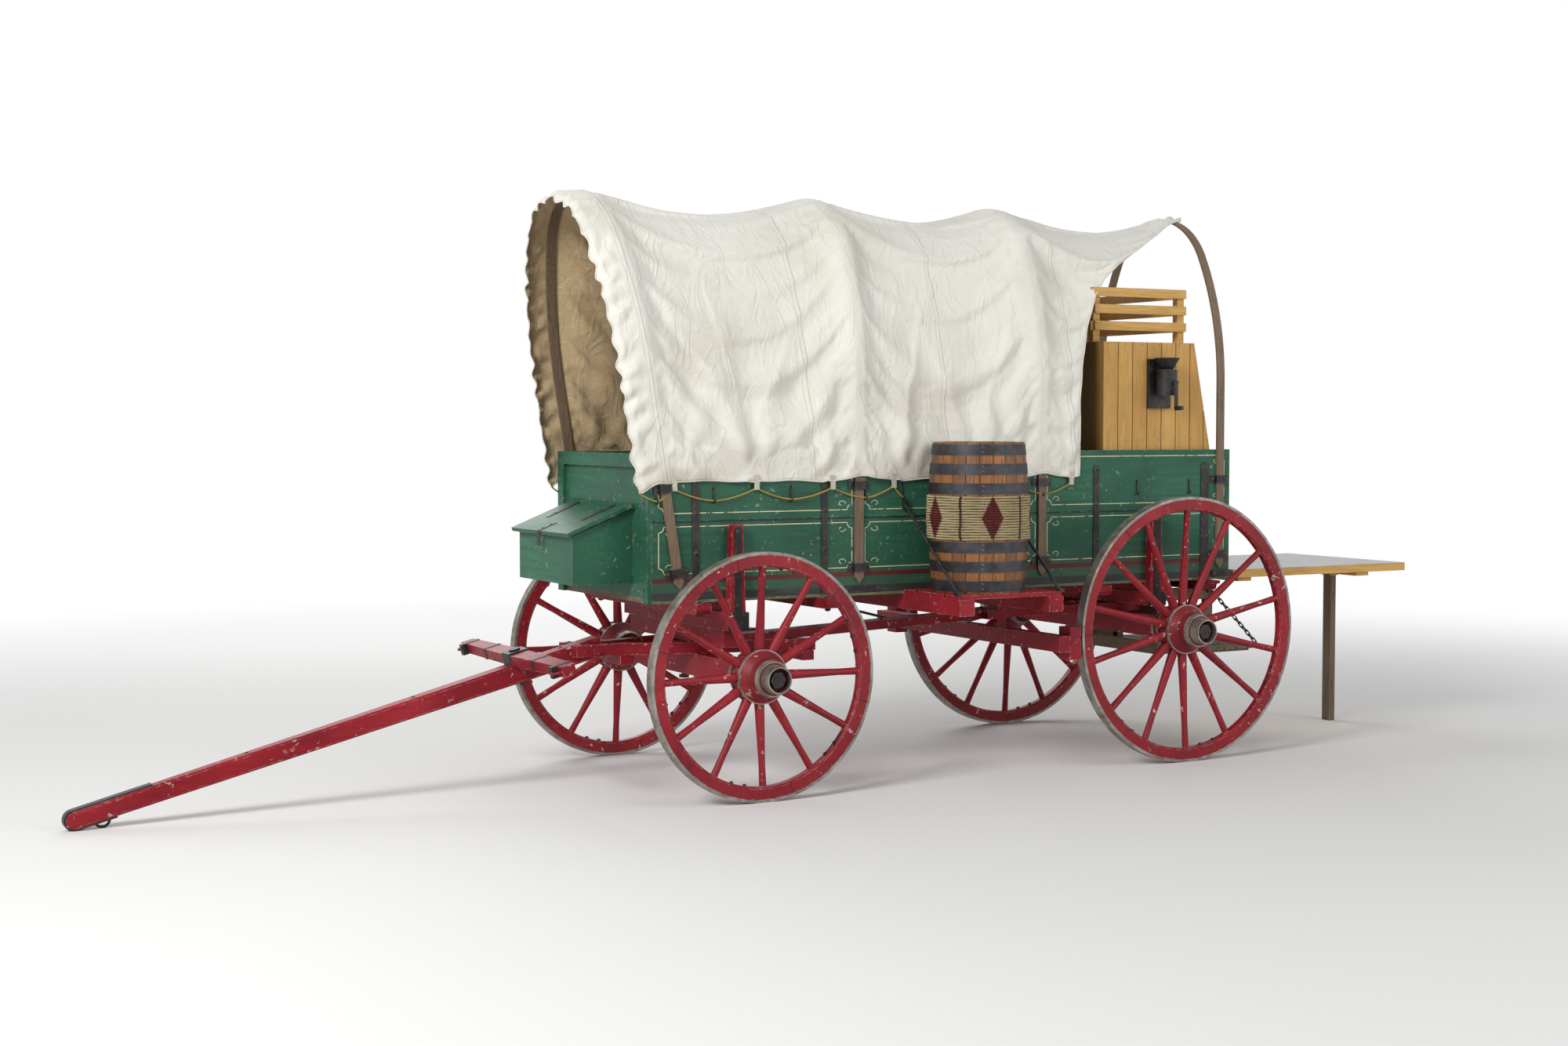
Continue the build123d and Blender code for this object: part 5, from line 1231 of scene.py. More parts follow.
@dataclass
class Bonnet:
    """The canvas: stretched over the bows, slack between them, drawn in in front, cut away at the tail."""

    spring: float = 1.900
    top: float = 2.770
    bow_half: float = 0.5149
    crown_radius: float = 0.400
    skin: float = 0.0034
    sag: float = 0.045
    side_sag: float = 0.009
    hem: float = 1.445
    scallop: float = 0.026
    corner_drop: float = 0.045
    front_reach: float = 0.130
    rear_reach: float = 0.060
    draw_in: float = 0.070
    draw_places: Places = (0.0, 0.65, 0.86, 1.0)
    draw_shares: Places = (0.0, 0.05, 0.4, 1.0)
    tail_levels: Places = (
        1.30, 1.435, 1.60, 1.80, 1.985, 2.18, 2.355, 2.45, 2.52, 2.575, 2.63, 2.70
    )
    tail_places: Places = (
        1.935, 1.940, 1.940, 1.950, 1.970, 2.020, 2.109, 2.195, 2.300, 2.410, 2.545, 2.740
    )
    girth: float = 3.35
    held_by_bow: float = 0.034
    held_by_tie: float = 0.02
    columns: int = 104
    rows: int = 112
    slack: float = 0.024
    steps: int = 26
    cap: float = 0.052
    cloth: float = 0.0016
    bow_half_width: float = 0.0225
    ties: Places = (-0.300, 0.115, 0.515, 0.855, 1.300, 1.560, 1.885)
    hooks: Places = (-0.385, -0.100, 0.300, 0.700, 1.080, 1.430, 1.720, 2.305, 2.640)
    hook_level: float = 1.352
    barrel_hook: float = 0.905
    barrel_span: Flat = (0.93, 1.42)
    lever_sweep: Flat = (-0.150, 0.300)
    lever_clear: float = 0.5225
    side_hollow: float = 0.030
    fan_height: float = 0.013
    fan_rate: float = 7.5
    billow_height: float = 0.008
    pull_height: float = 0.0034
    pull_rate: float = 41.0
    ruffle_height: float = 0.011
    ruffle_rate: float = 58.0
    bunch_height: float = 0.017
    bunch_rate: float = 88.0
    lever_top: float = 1.69
    board_top: float = 1.57
    beside_boards: float = 0.5118
    crease_table: tuple[tuple[float, float, float, float, float], ...] = (
        (0.115, 1.62, -0.235, 2.36, 0.016), (0.115, 1.62, 0.020, 2.44, 0.012),
        (0.130, 1.60, 0.420, 2.20, 0.014), (0.515, 1.50, 0.560, 2.30, 0.012),
        (0.855, 1.50, 0.745, 2.25, 0.012), (0.870, 1.52, 1.090, 2.30, 0.014),
        (1.300, 1.55, 1.060, 2.18, 0.013), (1.300, 1.52, 1.610, 2.30, 0.015),
        (1.560, 1.50, 1.640, 2.10, 0.011), (1.885, 1.55, 1.790, 2.40, 0.013),
        (1.900, 1.75, 2.250, 2.50, 0.014), (2.080, 2.20, 2.560, 2.64, 0.013),
        (-0.280, 1.50, -0.200, 2.10, 0.010),
    )

    @property
    def front(self) -> float:
        """The place of the front edge along the wagon."""
        return PLAN.bow_places[0] - self.front_reach

    def bow_line(self) -> Arch:
        """The outer line of the bows themselves."""
        return Arch(self.bow_half, self.spring, self.top - self.spring, self.crown_radius)

    def sag_at(self, place: float) -> float:
        """How far the cloth hangs below the bows' line.

        Args:
            place: A place along the wagon.

        Returns:
            A share of the most.
        """
        bows = PLAN.bow_places
        for before, after in zip(bows, bows[1:]):
            low, high = before + self.bow_half_width, after - self.bow_half_width
            if low < place < high:
                return math.sin(math.pi * (place - low) / (high - low)) ** 0.8
        return 0.0

    def outline(self, place: float, foot: float) -> np.ndarray:
        """The cloth's line over the wagon at one place.

        Args:
            place: The place along the wagon.
            foot: The height of the hem.

        Returns:
            Evenly spaced points (y, z), from the left hem to the right.
        """
        sag = self.sag_at(place)
        ahead = max(0.0, PLAN.bow_places[0] - self.bow_half_width - place) / self.front_reach
        drawn = self.draw_in * float(np.interp(ahead, self.draw_places, self.draw_shares))
        arch = Arch(
            self.bow_half + self.skin - self.side_sag * sag - drawn,
            self.spring,
            self.top - self.spring + self.skin - self.sag * sag - drawn,
            self.crown_radius + self.skin - drawn,
        )
        return arch.line(foot, self.rows + 1)

    def rear_edge(self, z: float) -> float:
        """Where the cloth ends along the wagon: the cutaway of the tail.

        Args:
            z: A height of the cloth's outline.

        Returns:
            The place of its rear edge there.
        """
        tail = PLAN.bow_places[-1] + self.rear_reach
        level, place = self.tail_levels[-1], self.tail_places[-1]
        if z < level:
            return float(np.interp(z, self.tail_levels, self.tail_places))
        return place + (tail - place) * min(1.0, (z - level) / 0.025)

    def foot_at(self, place: float) -> float:
        """The hem's height: lowest at each tie and at the front corner, drawn up between them.

        Args:
            place: A place along the wagon.

        Returns:
            The height.
        """
        near = min(abs(place - tie) for tie in self.ties)
        corner = self.corner_drop * min(1.0, max(0.0, (-0.365 - place) / 0.085))
        return self.hem - 0.028 + self.scallop * min(1.0, near / 0.17) ** 0.8 - corner

    def grid(self) -> tuple[np.ndarray, np.ndarray, np.ndarray]:
        """The cloth before it hangs.

        Returns:
            Its points, its map and the mask of points held by the bows and ties.
        """
        bows = PLAN.bow_places
        points, maps, held = [], [], []
        ends = [self.rear_edge(z) for _, z in self.outline(0.4, self.hem)]
        lines: dict[float, np.ndarray] = {}
        for column, share in enumerate(np.linspace(0.0, 1.0, self.columns + 1)):
            for row in range(self.rows + 1):
                place = self.front + (ends[row] - self.front) * share
                key = round(place, 3)
                if key not in lines:
                    lines[key] = self.outline(key, self.foot_at(key))
                y, z = lines[key][row]
                pivot = bows[0] if place < bows[0] else place
                x, level = PLAN.leaned(pivot, place - pivot, z)
                points.append((x, y, level))
                maps.append((place - self.front, row / self.rows * self.girth))
                on_bow = any(abs(place - bow) < self.held_by_bow for bow in bows)
                at_hem = min(row, self.rows - row) < 2
                tied = at_hem and any(abs(place - tie) < self.held_by_tie for tie in self.ties)
                cut = column == self.columns and z > 1.6
                held.append(on_bow or tied or column == 0 or cut)
        return np.array(points), np.array(maps), np.array(held)

    def mesh_of(self, points: np.ndarray, maps: np.ndarray) -> Mesh:
        """A grid of points as a mesh with its own map.

        Args:
            points: The grid.
            maps: The flat place of each point on the sheet.

        Returns:
            The mesh.
        """
        made = bpy.data.meshes.new("bonnet_canvas")
        deep, width = points.shape[:2]
        starts = [column * width + row for column in range(deep - 1) for row in range(width - 1)]
        faces = [(start, start + 1, start + width + 1, start + width) for start in starts]
        made.from_pydata([tuple(point) for point in points.reshape(-1, 3)], [], faces)
        layer = made.uv_layers.new(name="sheet")
        corners = np.zeros(len(made.loops), np.int32)
        made.loops.foreach_get("vertex_index", corners)
        layer.data.foreach_set("uv", maps.reshape(-1, 2)[corners].astype(np.float32).ravel())
        return made

    def hang(self, mesh: Mesh, held: np.ndarray) -> np.ndarray:
        """Lets the cloth hang between what holds it.

        Args:
            mesh: The cloth, which gets a little slack.
            held: The mask of points that don't move.

        Returns:
            The points once it has settled.
        """
        holder = linked("canvas_on_the_bows", mesh)
        group = holder.vertex_groups.new(name="held")
        group.add([int(index) for index in np.nonzero(held)[0]], 1.0, "REPLACE")
        modifier = holder.modifiers.new("hang", "CLOTH")
        for label, value in {
            "quality": 6, "mass": 0.32, "air_damping": 2.0, "shrink_min": -self.slack,
            "tension_stiffness": 22, "compression_stiffness": 12, "shear_stiffness": 6,
            "tension_damping": 12, "compression_damping": 12, "shear_damping": 12,
            "bending_stiffness": 0.7, "bending_damping": 1.5, "vertex_group_mass": "held",
        }.items():
            setattr(modifier.settings, label, value)
        modifier.collision_settings.use_collision = False
        modifier.collision_settings.use_self_collision = False
        modifier.point_cache.frame_end = self.steps + 1
        scene = bpy.context.scene
        for step in range(1, self.steps + 1):
            scene.frame_set(step)
        graph = bpy.context.evaluated_depsgraph_get()
        points = np.zeros(len(mesh.vertices) * 3)
        holder.evaluated_get(graph).data.vertices.foreach_get("co", points)
        holder.modifiers.remove(modifier)
        scene.frame_set(1)
        bpy.data.objects.remove(holder)
        return points.reshape(-1, 3)

    def folds(self, points: np.ndarray, maps: np.ndarray) -> np.ndarray:
        """Folds by rule: fans up from the ties, pulls beside the bows, puckers at the drawn edges.

        Args:
            points: The grid, once it has hung.
            maps: The flat place of each point on the sheet.

        Returns:
            The grid with its folds.
        """
        along, girth = maps[..., 0], maps[..., 1]
        place = along + self.front
        height = np.clip(points[..., 2] - self.hem, 0.0, None)
        near = np.min([np.abs(place - bow) for bow in PLAN.bow_places], axis=0)
        away = portion(near, 0.028, 0.13) ** 2
        push = np.zeros(along.shape)
        for number, tie in enumerate(self.ties):
            spread = 0.09 + height * 0.5
            off = (place - tie - height * 0.12 * (-1) ** number) / spread
            fan = np.cos(off * self.fan_rate + number) * np.exp(-(off**2))
            push += fan * self.fan_height * np.clip(1.15 - height / 0.85, 0, 1) * portion(height, 0.0, 0.10)
        low = portion(points[..., 2], 2.25, -0.8)
        billows = np.sin(place * 21.0 + 2.0 * np.sin(girth * 2.1)) * np.sin(place * 7.3 + 1.0)
        push += billows * self.billow_height * low
        push += self.creases(place, points)
        push *= away
        hollow = 1 - (1 - portion(near, 0.024, 0.15)) ** 2.4
        between = (place > PLAN.bow_places[0]) & (place < PLAN.bow_places[-1])
        rise = portion(points[..., 2], 1.56, 0.30) * portion(points[..., 2], 2.74, -0.30)
        push -= self.side_hollow * hollow * between * rise * rise * (3 - 2 * rise)
        beside = portion(near, 0.024, 0.03) * np.exp(-np.clip(near - 0.03, 0, None) / 0.11)
        pulls = np.sin(girth * self.pull_rate + 2.4 * np.sin(girth * 9.0 + place * 3.0))
        pulls = pulls + 0.6 * np.sin(girth * 83.0 + place * 17.0)
        push += pulls * self.pull_height * beside
        pucker = np.clip(1 - along / 0.15, 0, 1) ** 1.3
        ruffle = np.sin(girth * self.ruffle_rate + 1.6 * np.sin(girth * 13.0)) * self.ruffle_height
        ruffle = ruffle + np.sin(girth * 27.0 + 0.7) * 0.004
        push += ruffle * pucker
        bunch = portion(place, PLAN.bow_places[-1] + 0.024, 0.036)
        push += np.sin(girth * self.bunch_rate + 1.2 * np.sin(girth * 17.0)) * self.bunch_height * bunch
        outward = points.copy()
        outward[..., 0] = 0.0
        outward[..., 2] = np.clip(points[..., 2] - self.spring, 0.0, None)
        outward /= np.maximum(np.linalg.norm(outward, axis=-1), 1e-6)[..., None]
        moved = points + outward * push[..., None]
        moved[..., 0] += (np.sin(girth * self.bunch_rate + 2.0) * 0.009 - 0.004) * bunch
        moved[..., 0] += np.sin(girth * self.ruffle_rate + 1.0) * 0.007 * pucker**2
        return moved

    def creases(self, place: np.ndarray, points: np.ndarray) -> np.ndarray:
        """Straight creases that run up from the ties to the bows.

        Args:
            place: Each point's place along the wagon.
            points: The grid.

        Returns:
            Their height over the cloth at each point.
        """
        push = np.zeros(place.shape)
        level = points[..., 2]
        for number, (low_x, low_z, high_x, high_z, height) in enumerate(self.crease_table):
            shift = np.where(points[..., 1] < 0, 0.0, 0.05 * (-1) ** number)
            run_x, run_z = high_x - low_x, high_z - low_z
            size = math.hypot(run_x, run_z)
            off_x, off_z = place - low_x - shift, level - low_z
            share = np.clip((off_x * run_x + off_z * run_z) / size**2, 0, 1)
            across = (off_x * run_z - off_z * run_x) / size + 0.010 * np.sin(share * 7.0 + number)
            beyond = np.hypot(off_x - share * run_x, off_z - share * run_z)
            bite = np.where(across > 0, np.exp(-beyond / 0.060), np.exp(-beyond / 0.020))
            push += height * bite * np.sin(math.pi * np.clip(share, 0.03, 0.97)) ** 0.6
        return push

    def clear_of_the_wood(self, points: np.ndarray) -> np.ndarray:
        """Keeps the cloth outside the bows, the side boards and the barrel, and inside the brake's lever.

        Args:
            points: The grid.

        Returns:
            The grid, moved where it has to be.
        """
        out = points.copy()
        arch = self.bow_line()
        skin = self.skin - self.cloth / 2
        for bow in PLAN.bow_places:
            lean = PLAN.lean_at(bow)
            off, lift = out[..., 0] - PLAN.x(bow), out[..., 2] - PLAN.lean_pivot
            ahead = off * math.cos(lean) + lift * math.sin(lean)
            level = lift * math.cos(lean) - off * math.sin(lean) + PLAN.lean_pivot
            least = skin - np.clip(np.abs(ahead) - self.bow_half_width - 0.004, 0.0, None) * 0.55
            y, z = arch.pushed_out(out[..., 1], level, least)
            raised = z - level
            out[..., 1] = y
            out[..., 0] -= raised * math.sin(lean)
            out[..., 2] += raised * math.cos(lean)
        x, y, z = out[..., 0], out[..., 1], out[..., 2]
        ahead, behind = self.lever_sweep[0] - x, x - self.lever_sweep[1]
        lever_far = np.max([ahead, behind, z - self.lever_top, np.zeros(x.shape)], axis=0)
        y = np.where(y > 0, np.minimum(y, self.lever_clear + 0.35 * lever_far), y)
        low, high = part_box("barrel")
        reach = (high.x - low.x) / 2 + 0.0035
        beside_barrel = np.sqrt(np.clip(reach**2 - (x - (low.x + high.x) / 2) ** 2, 0.0, None))
        limit = -(low.y + high.y) / 2 - beside_barrel + 0.5 * np.clip(z - high.z - 0.010, 0.0, None)
        y = np.where(y < 0, np.maximum(y, -limit), y)
        side = np.where(y < 0, -1.0, 1.0)
        beside = (z < self.board_top) & (x > PLAN.x(PLAN.box_front) - 0.030)
        out[..., 1] = np.where(beside, side * np.maximum(np.abs(y), self.beside_boards), y)
        return out

    def build(self) -> None:
        """Makes the canvas and its rolled edge, and ties it down."""
        points, maps, held = self.grid()
        flat = self.mesh_of(points.reshape(self.columns + 1, self.rows + 1, 3), maps)
        change = self.hang(flat, held) - points
        size = np.linalg.norm(change, axis=1)
        points = points + change * (self.cap * np.tanh(size / self.cap) / np.maximum(size, 1e-9))[:, None]
        both = np.hstack([points, maps]).reshape(self.columns + 1, self.rows + 1, 5)
        both = refined(refined(both).swapaxes(0, 1)).swapaxes(0, 1)
        maps = both[..., 3:]
        grid = self.clear_of_the_wood(self.folds(both[..., :3], maps))
        mesh = self.mesh_of(grid, maps)
        # Two materials, one for each face of the cloth; the inner one is the darker tan of painted shade.
        for finish in (CANVAS_INSIDE_SHADE, CANVAS):
            mesh.materials.append(material_of(finish))
        mesh.shade_smooth()
        holder = linked("bonnet_holder", mesh)
        wall = holder.modifiers.new("wall", "SOLIDIFY")
        wall.thickness = self.cloth
        wall.offset = 0.0
        wall.material_offset = 1
        canvas = piece("bonnet_canvas", evaluated(holder, "bonnet_canvas"), None, "wagon")
        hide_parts("bonnet")
        edge = [*grid[0], *grid[1:, -1], *grid[-1, ::-1][1:], *grid[::-1, 0][1:-1]]
        ring = [tuple(point) for point in (*edge, edge[0])]
        rim = ROPES.along([ring], "bonnet_edge_roll", CANVAS, 0.0040, Lay=120.0, Step=0.014)
        roll = piece("bonnet_edge_roll", rim, None, "wagon")
        self.tie_down(grid)

    def tie_down(self, grid: np.ndarray) -> None:
        """Hooks on the side boards, white tabs on the hem and the rope that zigzags between them.

        Args:
            grid: The finished cloth's grid.
        """
        hook_form, tab_form = Form(), Form()
        ropes: list[list[Point]] = []
        bolts: list[HeadRow] = []
        for side in (LEFT, RIGHT):
            face = side * PLAN.side_outer
            hidden = self.barrel_span if side == LEFT else (self.barrel_hook - 0.01, self.barrel_hook + 0.01)
            hooks = [place for place in (*self.hooks, self.barrel_hook) if not hidden[0] < place < hidden[1]]
            for place in hooks:
                x, z = PLAN.x(place), self.hook_level
                curl = [
                    (x, face + side * (0.009 + 0.009 * math.sin(turn)), z - 0.012 - 0.014 * math.cos(turn))
                    for turn in np.linspace(-1.2, 1.9, 8)
                ]
                stem = [(x, face + side * 0.0045, z + 0.040), (x, face + side * 0.0045, z + 0.004)]
                hook_form.tube([*stem, *curl], 0.0035, 6)
                bolts.append(((x, face, z + 0.046), (0.0, float(side), 0.0), 0.009))
            hem_line = grid[:, 0 if side == LEFT else -1]
            corner = hem_line[0]
            path: list[Point] = [(corner[0] + 0.004, corner[1], corner[2])]
            stops = [(tie, True) for tie in self.ties if not hidden[0] < tie < hidden[1]]
            for place, at_tab in sorted([*stops, *((hook, False) for hook in hooks if hook < 2.0)]):
                x = PLAN.x(place)
                if side == LEFT and place > hidden[1] and path[-1][0] < PLAN.x(hidden[0]):
                    ropes.append(self.slackened(path))
                    path = []
                if not at_tab:
                    path.append((x, face + side * 0.012, self.hook_level - 0.016))
                    continue
                near = hem_line[np.argmin(np.abs(hem_line[:, 0] - x))]
                y, z = near[1] + side * 0.0022, near[2]
                tab_form.block((x - 0.013, y - 0.0014, z - 0.038), (x + 0.013, y + 0.0014, z + 0.028))
                path.append((x, y - side * 0.005, z - 0.030))
            ropes.append(self.slackened(path))
        hook_form.piece("tie_hooks", BLACK_IRON, "wagon", "black_iron", True)
        tab_form.piece("hem_tabs", TIE_TAPE, "wagon", "canvas")
        rope = ROPES.along(ropes, "hem_tie_rope", TIE_ROPE, 0.0046, Lay=300.0, Step=0.007)
        piece("hem_tie_rope", rope, None, "wagon")
        FASTENERS.add("wagon", "hook_bolts", bolts)

    def slackened(self, path: Sequence[Point]) -> list[Point]:
        """A path that dips a little between its points, as a rope that isn't strained.

        Args:
            path: The points that hold the rope.

        Returns:
            The rope's line.
        """
        out: list[Point] = []
        for start, end in zip(path, path[1:]):
            first, last = Vector(start), Vector(end)
            dip = 0.05 * (last - first).length
            for step in range(10):
                share = step / 10
                spot = first.lerp(last, share)
                spot.z -= dip * 4 * share * (1 - share)
                out.append(tuple(spot))
        out.append(tuple(path[-1]))
        return out


@dataclass
class Wheels:
    """Paint, worn tyres, felloe joints and the tyre bolts' nuts of the four wheels."""

    felloe_inner_drop: float = 0.069
    nut: float = 0.0105
    nut_off: float = 0.07

    def build(self) -> None:
        """Dresses each wheel and sets the nuts of its tyre bolts."""
        for axle, place, radius, spokes in (
            ("front", 0.0, PLAN.front_radius, 12),
            ("rear", PLAN.rear_axle, PLAN.rear_radius, 14),
        ):
            felloes = spokes // 2
            inner = radius - self.felloe_inner_drop
            paint = WheelPaint(
                f"wheel_paint_{axle}", Paint.GEAR_RED.value, grain=Grain.EVEN, wear=0.85,
                centre=(PLAN.x(place), radius), felloes=felloes, inner=inner,
                turn=math.pi / 2 - math.pi / spokes + math.pi / felloes,
            )
            for side in (LEFT, RIGHT):
                name = SIDE_NAMES[side]
                body = f"wheel_{axle}_{name}"
                dress(paint, body)
                dress(TYRE_IRON, f"tyre_{axle}_{name}")
                rows = []
                for joint in range(felloes):
                    middle = math.pi / 2 - math.pi / spokes + joint * math.tau / felloes
                    for off in (-self.nut_off, self.nut_off):
                        turn = middle + off
                        way = (-math.cos(turn), 0.0, -math.sin(turn))
                        spot = (
                            PLAN.x(place) + inner * math.cos(turn),
                            side * PLAN.track_half,
                            radius + inner * math.sin(turn),
                        )
                        rows.append((spot, way, self.nut))
                FASTENERS.add(body, f"tyre_nuts_{axle}_{name}", rows, Head.SQUARE_NUT)
            dress(BLACK_IRON, f"skeins_{axle}")


@dataclass
class RunningGear:
    """Axles, bolsters, hounds, reach, pole and doubletree: red paint, irons and bolts."""

    pole_slope: float = 14.34
    doubletree_place: float = -0.866
    doubletree_level: float = 0.618
    band_middles: tuple[Flat, ...] = (
        (0.0, 0.045), (0.285, 0.014), (-0.285, 0.014), (0.545, 0.016), (-0.545, 0.016)
    )
    bolt: float = 0.0125
    above_gear: float = 1.2
    above_pole: float = 0.9
    bolt_table: tuple[tuple[str, str, tuple[Flat, ...]], ...] = (
        (
            "front_gear", "front_hounds",
            ((-0.560, 0.08), (-0.430, 0.08), (-0.200, 0.132), (0.250, 0.245), (0.420, 0.28)),
        ),
        ("front_gear", "sand_board", ((0.0, 0.25), (0.0, 0.42))),
        ("wagon", "reach", ((0.30, 0.0), (1.10, 0.0), (1.72, 0.0))),
        ("wagon", "rear_hounds", ((1.75, 0.072), (2.05, 0.137), (2.30, 0.232))),
        ("wagon", "barrel_shelf", ((0.955, 0.92), (1.455, 0.92))),
        ("pole", "pole", ((-0.640, 0.0), (-1.35, 0.0), (-2.10, 0.0))),
    )

    def build(self) -> None:
        """Dresses the gear's nodes and sets its bolts."""
        dress(GEAR_RED, "front_hounds", "reach", "rear_hounds", "pole")
        dress(GEAR_RED_ACROSS, "front_axle", "sand_board", "rear_axle", "doubletree")
        dress(BOLSTER, "front_bolster", "rear_bolster")
        dress(BLACK_IRON, "king_bolt", "pole_irons")
        self.bands()
        for body, node, spots in self.bolt_table:
            rows = []
            start = self.above_pole if node == "pole" else self.above_gear
            for place, y in spots:
                for side in (LEFT, RIGHT) if y else (RIGHT,):
                    found = cast(node, (PLAN.x(place), side * y, start), DOWN)
                    if found:
                        rows.append((*found, self.bolt))
            FASTENERS.add(body, f"{node}_bolts", rows)

    def bands(self) -> None:
        """Iron bands round the doubletree's middle and ends, square to the sloping pole."""
        form = Form()
        slope = math.radians(self.pole_slope)
        way = Vector((-math.cos(slope), 0.0, -math.sin(slope)))
        up = Vector((-math.sin(slope), 0.0, math.cos(slope)))
        for middle, half in self.band_middles:
            start = Vector((PLAN.x(self.doubletree_place), middle, self.doubletree_level))
            reach = []
            for direction in (up, -up, way, -way):
                found = cast("doubletree", tuple(start + direction * 0.2), tuple(-direction))
                reach.append((Vector(found[0]) - start).dot(direction) + 0.0025 if found else 0.03)
            top, bottom, front, back = reach
            corners = ((front, top), (-back, top), (-back, -bottom), (front, -bottom))
            spots = [start + way * ahead + up * high for ahead, high in corners]
            rows = [[(spot.x, y, spot.z) for spot in spots] for y in (middle - half, middle + half)]
            form.strip(rows)
        form.piece("doubletree_bands", BLACK_IRON, "doubletree", "black_iron")


@dataclass
class WagonBox:
    """The painted box: sides with bands and cream lines, straps, staples, sills and floor.

    side_bolts lists the bolts of straps, corner straps, side plates and stakes: their places along the
    wagon, their levels, how far from its middle they stand and their radius.
    """

    panels: tuple[Flat, ...] = ((-0.375, 0.630), (0.702, 1.680), (1.752, 2.874))
    levels: tuple[Flat, ...] = ((1.010, 1.222), (1.282, 1.520))
    line: float = 0.0042
    notch: float = 0.026
    curl: float = 0.017
    line_proud: float = 0.0003
    strap_face: float = 0.5085
    sill_end: float = 0.536
    sill_nut: Flat = (0.828, 0.016)
    sill_bolt: Flat = (0.878, 0.013)
    corner_post: float = 0.4715
    post_proud: float = 0.022
    post_levels: Places = (0.94, 1.13, 1.33, 1.52)
    post_bolt: float = 0.0095
    staple_half: float = 0.0425
    staple_bolt: float = 0.0105
    side_bolts: tuple[tuple[Places, Places, float, float], ...] = (
        (PLAN.strap_places, (0.915, 1.10, 1.28, 1.455), 0.5085, 0.0115),
        ((2.731, 2.759), (0.915, 1.10, 1.28, 1.455), 0.5085, 0.0095),
        ((0.605, 0.775, 2.812, 2.888), (0.909,), 0.5105, 0.0085),
        ((0.0, PLAN.rear_axle), (0.86, 1.03, 1.195), 0.5554, 0.0095),
    )

    def panel_path(self, low_x: float, high_x: float, low_z: float, high_z: float) -> list[Flat]:
        """A rectangle whose corners are hollowed.

        Args:
            low_x: Its front.
            high_x: Its rear.
            low_z: Its foot.
            high_z: Its top.

        Returns:
            Points (x, z) round it.
        """
        out: list[Flat] = []
        corners = ((low_x, low_z), (high_x, low_z), (high_x, high_z), (low_x, high_z))
        for (x, z), start in zip(corners, (0.0, 90.0, 180.0, 270.0)):
            for step in range(7):
                turn = math.radians(start + 90 - step * 15)
                out.append((x + self.notch * math.cos(turn), z + self.notch * math.sin(turn)))
        return out

    def scroll(self, x: float, z: float, way_x: int, way_z: int) -> list[Flat]:
        """A small curl inside a panel's corner.

        Args:
            x: The corner's x.
            z: Its height.
            way_x: 1 or -1, the way into the panel along the wagon.
            way_z: 1 or -1, the way into it upwards.

        Returns:
            Points (x, z) along the curl.
        """
        out: list[Flat] = []
        middle_x = x + way_x * (self.notch + 0.030)
        middle_z = z + way_z * (self.notch + 0.002)
        for step in range(18):
            turn = step / 17 * 1.45 * math.pi
            reach = self.curl * (1 - 0.62 * step / 17)
            across, up = reach * math.cos(turn) * 1.3, reach * math.sin(turn)
            out.append((middle_x - way_x * across, middle_z + way_z * up))
        return out

    def stripes(self) -> None:
        """The cream lines of both sides, as thin paint that stands just proud of the boards."""
        form = Form()
        for side in (LEFT, RIGHT):
            face = side * PLAN.side_outer
            for panel in self.panels:
                x0, x1 = PLAN.x(panel[0]), PLAN.x(panel[1])
                for low_z, high_z in self.levels:
                    path = self.panel_path(x0, x1, low_z, high_z)
                    form.ribbon(path, self.line, face, self.line_proud, True)
                    for x, way_x in ((x0, 1), (x1, -1)):
                        for z, way_z in ((low_z, 1), (high_z, -1)):
                            curl = self.scroll(x, z, way_x, way_z)
                            form.ribbon(curl, self.line * 0.75, face, self.line_proud, False)
        form.piece("side_striping", CREAM_LINE, "wagon", "box_green")

    def bolts(self) -> None:
        """The bolts of straps, staples, plates, stakes and sills on both sides, and of the front frame."""
        heads: list[HeadRow] = []
        nuts: list[HeadRow] = []
        for side in (LEFT, RIGHT):
            out = (0.0, float(side), 0.0)
            for places, levels, face, size in self.side_bolts:
                heads += [((PLAN.x(place), side * face, z), out, size) for place in places for z in levels]
            for place in PLAN.bow_places:
                for level in PLAN.staple_levels:
                    for off in (-self.staple_half, self.staple_half):
                        x, z = PLAN.leaned(place, off, level)
                        heads.append(((x, side * self.strap_face, z), out, self.staple_bolt))
            for place in (*PLAN.strap_places, PLAN.corner_strap):
                for rows, way, (z, size) in ((nuts, DOWN, self.sill_nut), (heads, UP, self.sill_bolt)):
                    rows.append(((PLAN.x(place), side * self.sill_end, z), way, size))
            front = PLAN.x(PLAN.box_front - self.post_proud)
            for z in self.post_levels:
                heads.append(((front, side * self.corner_post, z), FORWARD, self.post_bolt))
        FASTENERS.add("wagon", "side_bolts", heads)
        FASTENERS.add("wagon", "sill_nuts", nuts, Head.SQUARE_NUT)

    def build(self) -> None:
        """Dresses the box's nodes."""
        dress(BOX_SIDE, "box_side_left", "box_side_right")
        dress(BOX_GREEN_ACROSS, "box_front")
        dress(GREY_ALONG, "box_floor")
        dress(STRIP_OLIVE, "box_strips")
        dress(GEAR_RED_ACROSS, "box_sills")
        dress(BLACK_IRON, "box_irons_left", "box_irons_right")
        dress(BOW_WOOD, *(f"bow_{number + 1}" for number in range(len(PLAN.bow_places))))
        self.stripes()
        self.bolts()


